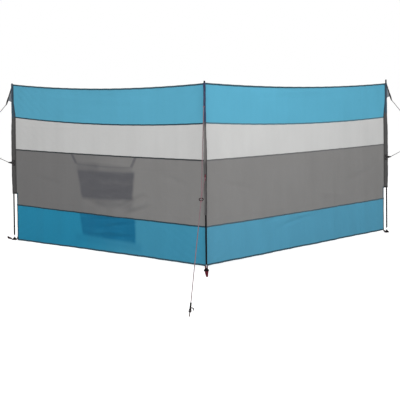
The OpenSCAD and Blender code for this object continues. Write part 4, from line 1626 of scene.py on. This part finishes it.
class WINDBREAK_OT_guy_ropes(bpy.types.Operator):
    """Tie the bridles, lines and peg eyes of the guys"""

    bl_idname = "windbreak.guy_ropes"
    bl_label = "Guy ropes"

    def execute(self, context):
        values = rigging()
        grey = braided_rope("Grey guy rope", values.rope, values.rope_fleck, values.whipping)
        red = braided_rope("Red guy rope", values.red_rope, values.red_fleck, values.whipping)
        for side in SIDES:
            material = red if side == "centre" else grey
            settle(self.rope(Guy(side)), "rope", material, side + "_guy_rope")
        return {"FINISHED"}

    def rope(self, guy):
        values = rigging()
        radius = values.rope_diameter / 2
        knot_r = values.knot_diameter / 2
        draft = Draft(guy.side + "_guy_rope_braid")
        bend_r = RING_WIRE / 2 + radius + 0.0003
        rim = guy.ring - guy.line_run * RING_R
        upper = self.touch(rim, bend_r, guy.top_knot, -1)
        wrap = (upper - self.touch(rim, bend_r, guy.middle_knot, 1)) % (2 * math.pi)
        bridle = self.straight(guy.top_knot, rim + bend_r * self.ray(upper))
        bridle += [rim + bend_r * self.ray(upper - wrap * i / 16) for i in range(1, 16)]
        bridle += self.straight(rim + bend_r * self.ray(upper - wrap), guy.middle_knot)
        draft.tube([guy.place(p) for p in bridle], radius)
        start = guy.ring + guy.line_run * (RING_R + RING_WIRE / 2 + knot_r)
        end = guy.hold - guy.line_run * values.eye_length
        draft.tube([guy.place(p) for p in self.straight(start, end)], radius)
        self.eye(draft, guy, radius)
        for knot, towards in ((guy.top_knot, bridle[1]), (guy.middle_knot, bridle[-2]), (start, end)):
            self.knot(draft, guy, knot, (towards - knot).normalized(), radius)
        self.knot(draft, guy, end, -guy.line_run, radius, WHIPPED)
        self.hitch(draft, guy, start, radius)
        return draft.finish()

    def ray(self, angle):
        return Vector((math.cos(angle), math.sin(angle)))

    def touch(self, centre, radius, point, side):
        """Angle on a bend where a straight run from a point meets it."""
        run = point - centre
        return math.atan2(run.y, run.x) + side * math.acos(radius / run.length)

    def straight(self, first, last):
        count = max(2, round((last - first).length / 0.03))
        return [first.lerp(last, i / count) for i in range(count + 1)]

    def eye(self, draft, guy, radius):
        """Long loop from the last knot around the peg."""
        turn_r = 0.0074
        start = guy.hold - guy.line_run * rigging().eye_length
        path = []
        for i in range(9):
            t = i / 8
            path.append((start.lerp(guy.hold, t), mix(radius, turn_r, smooth(t, 0.6, 1.0))))
        for i in range(1, 12):
            angle = math.pi / 2 - math.pi * i / 12
            path.append((guy.hold + guy.line_run * turn_r * math.cos(angle), turn_r * math.sin(angle)))
        for i in range(9):
            t = 1 - i / 8
            path.append((start.lerp(guy.hold, t), -mix(radius, turn_r, smooth(t, 0.6, 1.0))))
        draft.tube([guy.place(point, across) for point, across in path], radius, start=WHIPPED)

    def knot(self, draft, guy, centre, run, radius, start=0.0):
        """Turns of rope wound around the standing part."""
        side = Vector((-run.y, run.x))
        path = []
        turns, steps = 2.6, 40
        for i in range(steps + 1):
            t = i / steps
            angle = 2 * math.pi * turns * t
            bulge = radius * (0.75 + 0.55 * math.sin(math.pi * t))
            point = centre + run * ((t - 0.5) * radius * 3.2) + side * (bulge * math.cos(angle))
            path.append(guy.place(point, bulge * math.sin(angle)))
        draft.tube(path, radius * 0.92, sides=10, start=start)

    def hitch(self, draft, guy, knot, radius):
        """Bight of the line through the ring, above its knot."""
        rim = guy.ring + guy.line_run * RING_R
        bend_r = RING_WIRE / 2 + radius * 0.8
        path = [guy.place(knot, bend_r * 0.6)]
        for i in range(11):
            angle = math.pi * i / 10
            path.append(guy.place(rim - guy.line_run * bend_r * math.sin(angle), bend_r * math.cos(angle)))
        path.append(guy.place(knot, -bend_r * 0.6))
        draft.tube(path, radius * 0.8, sides=10)


class WINDBREAK_OT_fittings(bpy.types.Operator):
    """Finish the guy rings and the bent wire pegs"""

    bl_idname = "windbreak.fittings"
    bl_label = "Rings and pegs"

    def execute(self, context):
        values = rigging()
        ring = worn_steel("Ring enamel", values.ring_black, 0.40, 0.3, srgb(84, 52, 54), 0.0)
        worn_below = values.peg_hold - 0.006
        peg = worn_steel("Peg wire", values.peg_paint, 0.45, 0.25, values.peg_worn, 0.1, worn_below)
        for side in SIDES:
            paint(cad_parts[side + "_guy_ring"], ring)
            paint(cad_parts[side + "_peg"], peg)
        return {"FINISHED"}


class WINDBREAK_OT_pockets(bpy.types.Operator):
    """Sew the hanging bag, its straps and the low pocket behind the left bay"""

    bl_idname = "windbreak.pockets"
    bl_label = "Rear pockets"

    def execute(self, context):
        values = cloth()
        bay = Bay("left")
        bag, flat = self.pouch(bay, "rear_bag", BAG_NEAR, BAG_LOW, BAG_HIGH, BAG_DEPTH)
        settle(bag, "bag", stripe_cloth("Bag cloth", values.bag), "rear_bag")
        pocket_top = bay.line(LOWER_SEAM, BAG_NEAR) - 0.012
        pocket, flat = self.pouch(bay, "rear_pocket", POCKET_NEAR, POCKET_LOW, pocket_top, POCKET_DEPTH)
        settle(pocket, "pocket", stripe_cloth("Pocket cloth", values.pocket), "rear_pocket")
        strap = webbing("Bag webbing", rigging().black_webbing, rigging().strap_width)
        settle(self.straps(bay), "black_webbing", strap, "rear_bag_straps")
        return {"FINISHED"}

    def pouch(self, bay, name, near, low, high, depth):
        """Open shell: back against the cloth, round lower fold, and a bulging front with a gathered mouth."""
        draft = Draft(name + "_cloth")
        columns = 96
        back, fold_r = 0.0028, 0.012
        rows = []
        girth = 0.0
        for i in range(columns + 1):
            t = i / columns
            u = near + POUCH_LENGTH * t
            full = 0.30 + 0.70 * smooth(min(t, 1 - t), 0.0, 0.16)
            bottom = low + 0.006 - 0.012 * math.sin(math.pi * t)
            mouth = high - 0.010 * math.sin(math.pi * t)
            low_depth = depth * 0.45 * full
            section = [(back, mix(high - 0.001, bottom + fold_r, j / 14)) for j in range(15)]
            for j in range(1, 8):
                angle = math.pi * j / 8
                section.append((
                    back + low_depth / 2 * (1 - math.cos(angle)),
                    bottom + fold_r * (1 - math.sin(angle)),
                ))
            for j in range(17):
                h = j / 16
                swell = 0.10 * math.sin(math.pi * h)
                gather = 0.0016 * math.sin(u / 0.0085 + 2 * math.sin(u * 23)) * smooth(h, 0.35, 1.0)
                section.append((
                    back + (low_depth + (depth * full - low_depth) * h) * (1 + swell) + gather * full,
                    mix(bottom + fold_r, mouth, h),
                ))
            row = []
            run = 0.0
            for j, (behind, z) in enumerate(section):
                if j:
                    run += math.hypot(behind - section[j - 1][0], z - section[j - 1][1])
                row.append((bay.on_cloth(u, z, behind), (u, run)))
            girth = max(girth, run)
            rows.append(row)
        draft.rows(rows)
        for end in (0, -1):
            ring = rows[end]
            half = len(ring) // 2
            pairs = [(ring[j], ring[-1 - j]) for j in range(half)]
            draft.rows([[a, (a[0].lerp(b[0], 0.5), a[1]), b] for a, b in pairs])
        return draft.finish(0.0012), (girth, POUCH_LENGTH)

    def straps(self, bay):
        values = rigging()
        draft = Draft("rear_bag_straps_webbing")
        top = bay.line(MIDDLE_SEAM, BAG_NEAR) + TAPE_HALF - 0.001
        spread, behind = values.bag_strap_spread, 0.0034
        half_w = values.strap_width / 2
        for u, lean in ((BAG_NEAR + half_w, -spread), (BAG_NEAR + POUCH_LENGTH - half_w, spread)):
            rows = []
            for i in range(17):
                t = i / 16
                z = mix(BAG_HIGH - 0.018, top, t)
                rows.append([
                    (bay.on_cloth(u + lean * t + wide, z, behind + through), (wide, z))
                    for wide, through in band_ring(half_w, values.strap_thickness / 2)
                ])
            draft.rows(rows, closed=True, capped=True)
        return draft.finish()


class WINDBREAK_PT_panel(bpy.types.Panel):
    """Lists the windbreak's pieces in the sidebar"""

    bl_idname = "WINDBREAK_PT_panel"
    bl_label = "Beach windbreak"
    bl_space_type = "VIEW_3D"
    bl_region_type = "UI"
    bl_category = "Windbreak"

    def draw(self, context):
        for operator in OPERATORS:
            self.layout.operator(operator.bl_idname)


SETTINGS = {
    "windbreak_cloth": WindbreakCloth,
    "windbreak_rigging": WindbreakRigging,
    "windbreak_stage": WindbreakStage,
}
OPERATORS = (
    WINDBREAK_OT_stage,
    WINDBREAK_OT_stripes,
    WINDBREAK_OT_bindings,
    WINDBREAK_OT_sleeves,
    WINDBREAK_OT_poles,
    WINDBREAK_OT_feet,
    WINDBREAK_OT_foot_straps,
    WINDBREAK_OT_guy_patches,
    WINDBREAK_OT_guy_ropes,
    WINDBREAK_OT_fittings,
    WINDBREAK_OT_pockets,
)


def register():
    for made in (*SETTINGS.values(), *OPERATORS, WINDBREAK_PT_panel):
        bpy.utils.register_class(made)
    for name, made in SETTINGS.items():
        setattr(bpy.types.Scene, name, PointerProperty(type=made))


def unregister():
    for name in SETTINGS:
        delattr(bpy.types.Scene, name)
    for made in (WINDBREAK_PT_panel, *reversed(OPERATORS), *SETTINGS.values()):
        bpy.utils.unregister_class(made)


def main():
    register()
    bpy.ops.windbreak.stage()
    bpy.ops.windbreak.stripes()
    bpy.ops.windbreak.bindings()
    bpy.ops.windbreak.sleeves()
    bpy.ops.windbreak.poles()
    bpy.ops.windbreak.feet()
    bpy.ops.windbreak.foot_straps()
    bpy.ops.windbreak.guy_patches()
    bpy.ops.windbreak.guy_ropes()
    bpy.ops.windbreak.fittings()
    bpy.ops.windbreak.pockets()


if __name__ == "__main__":
    main()
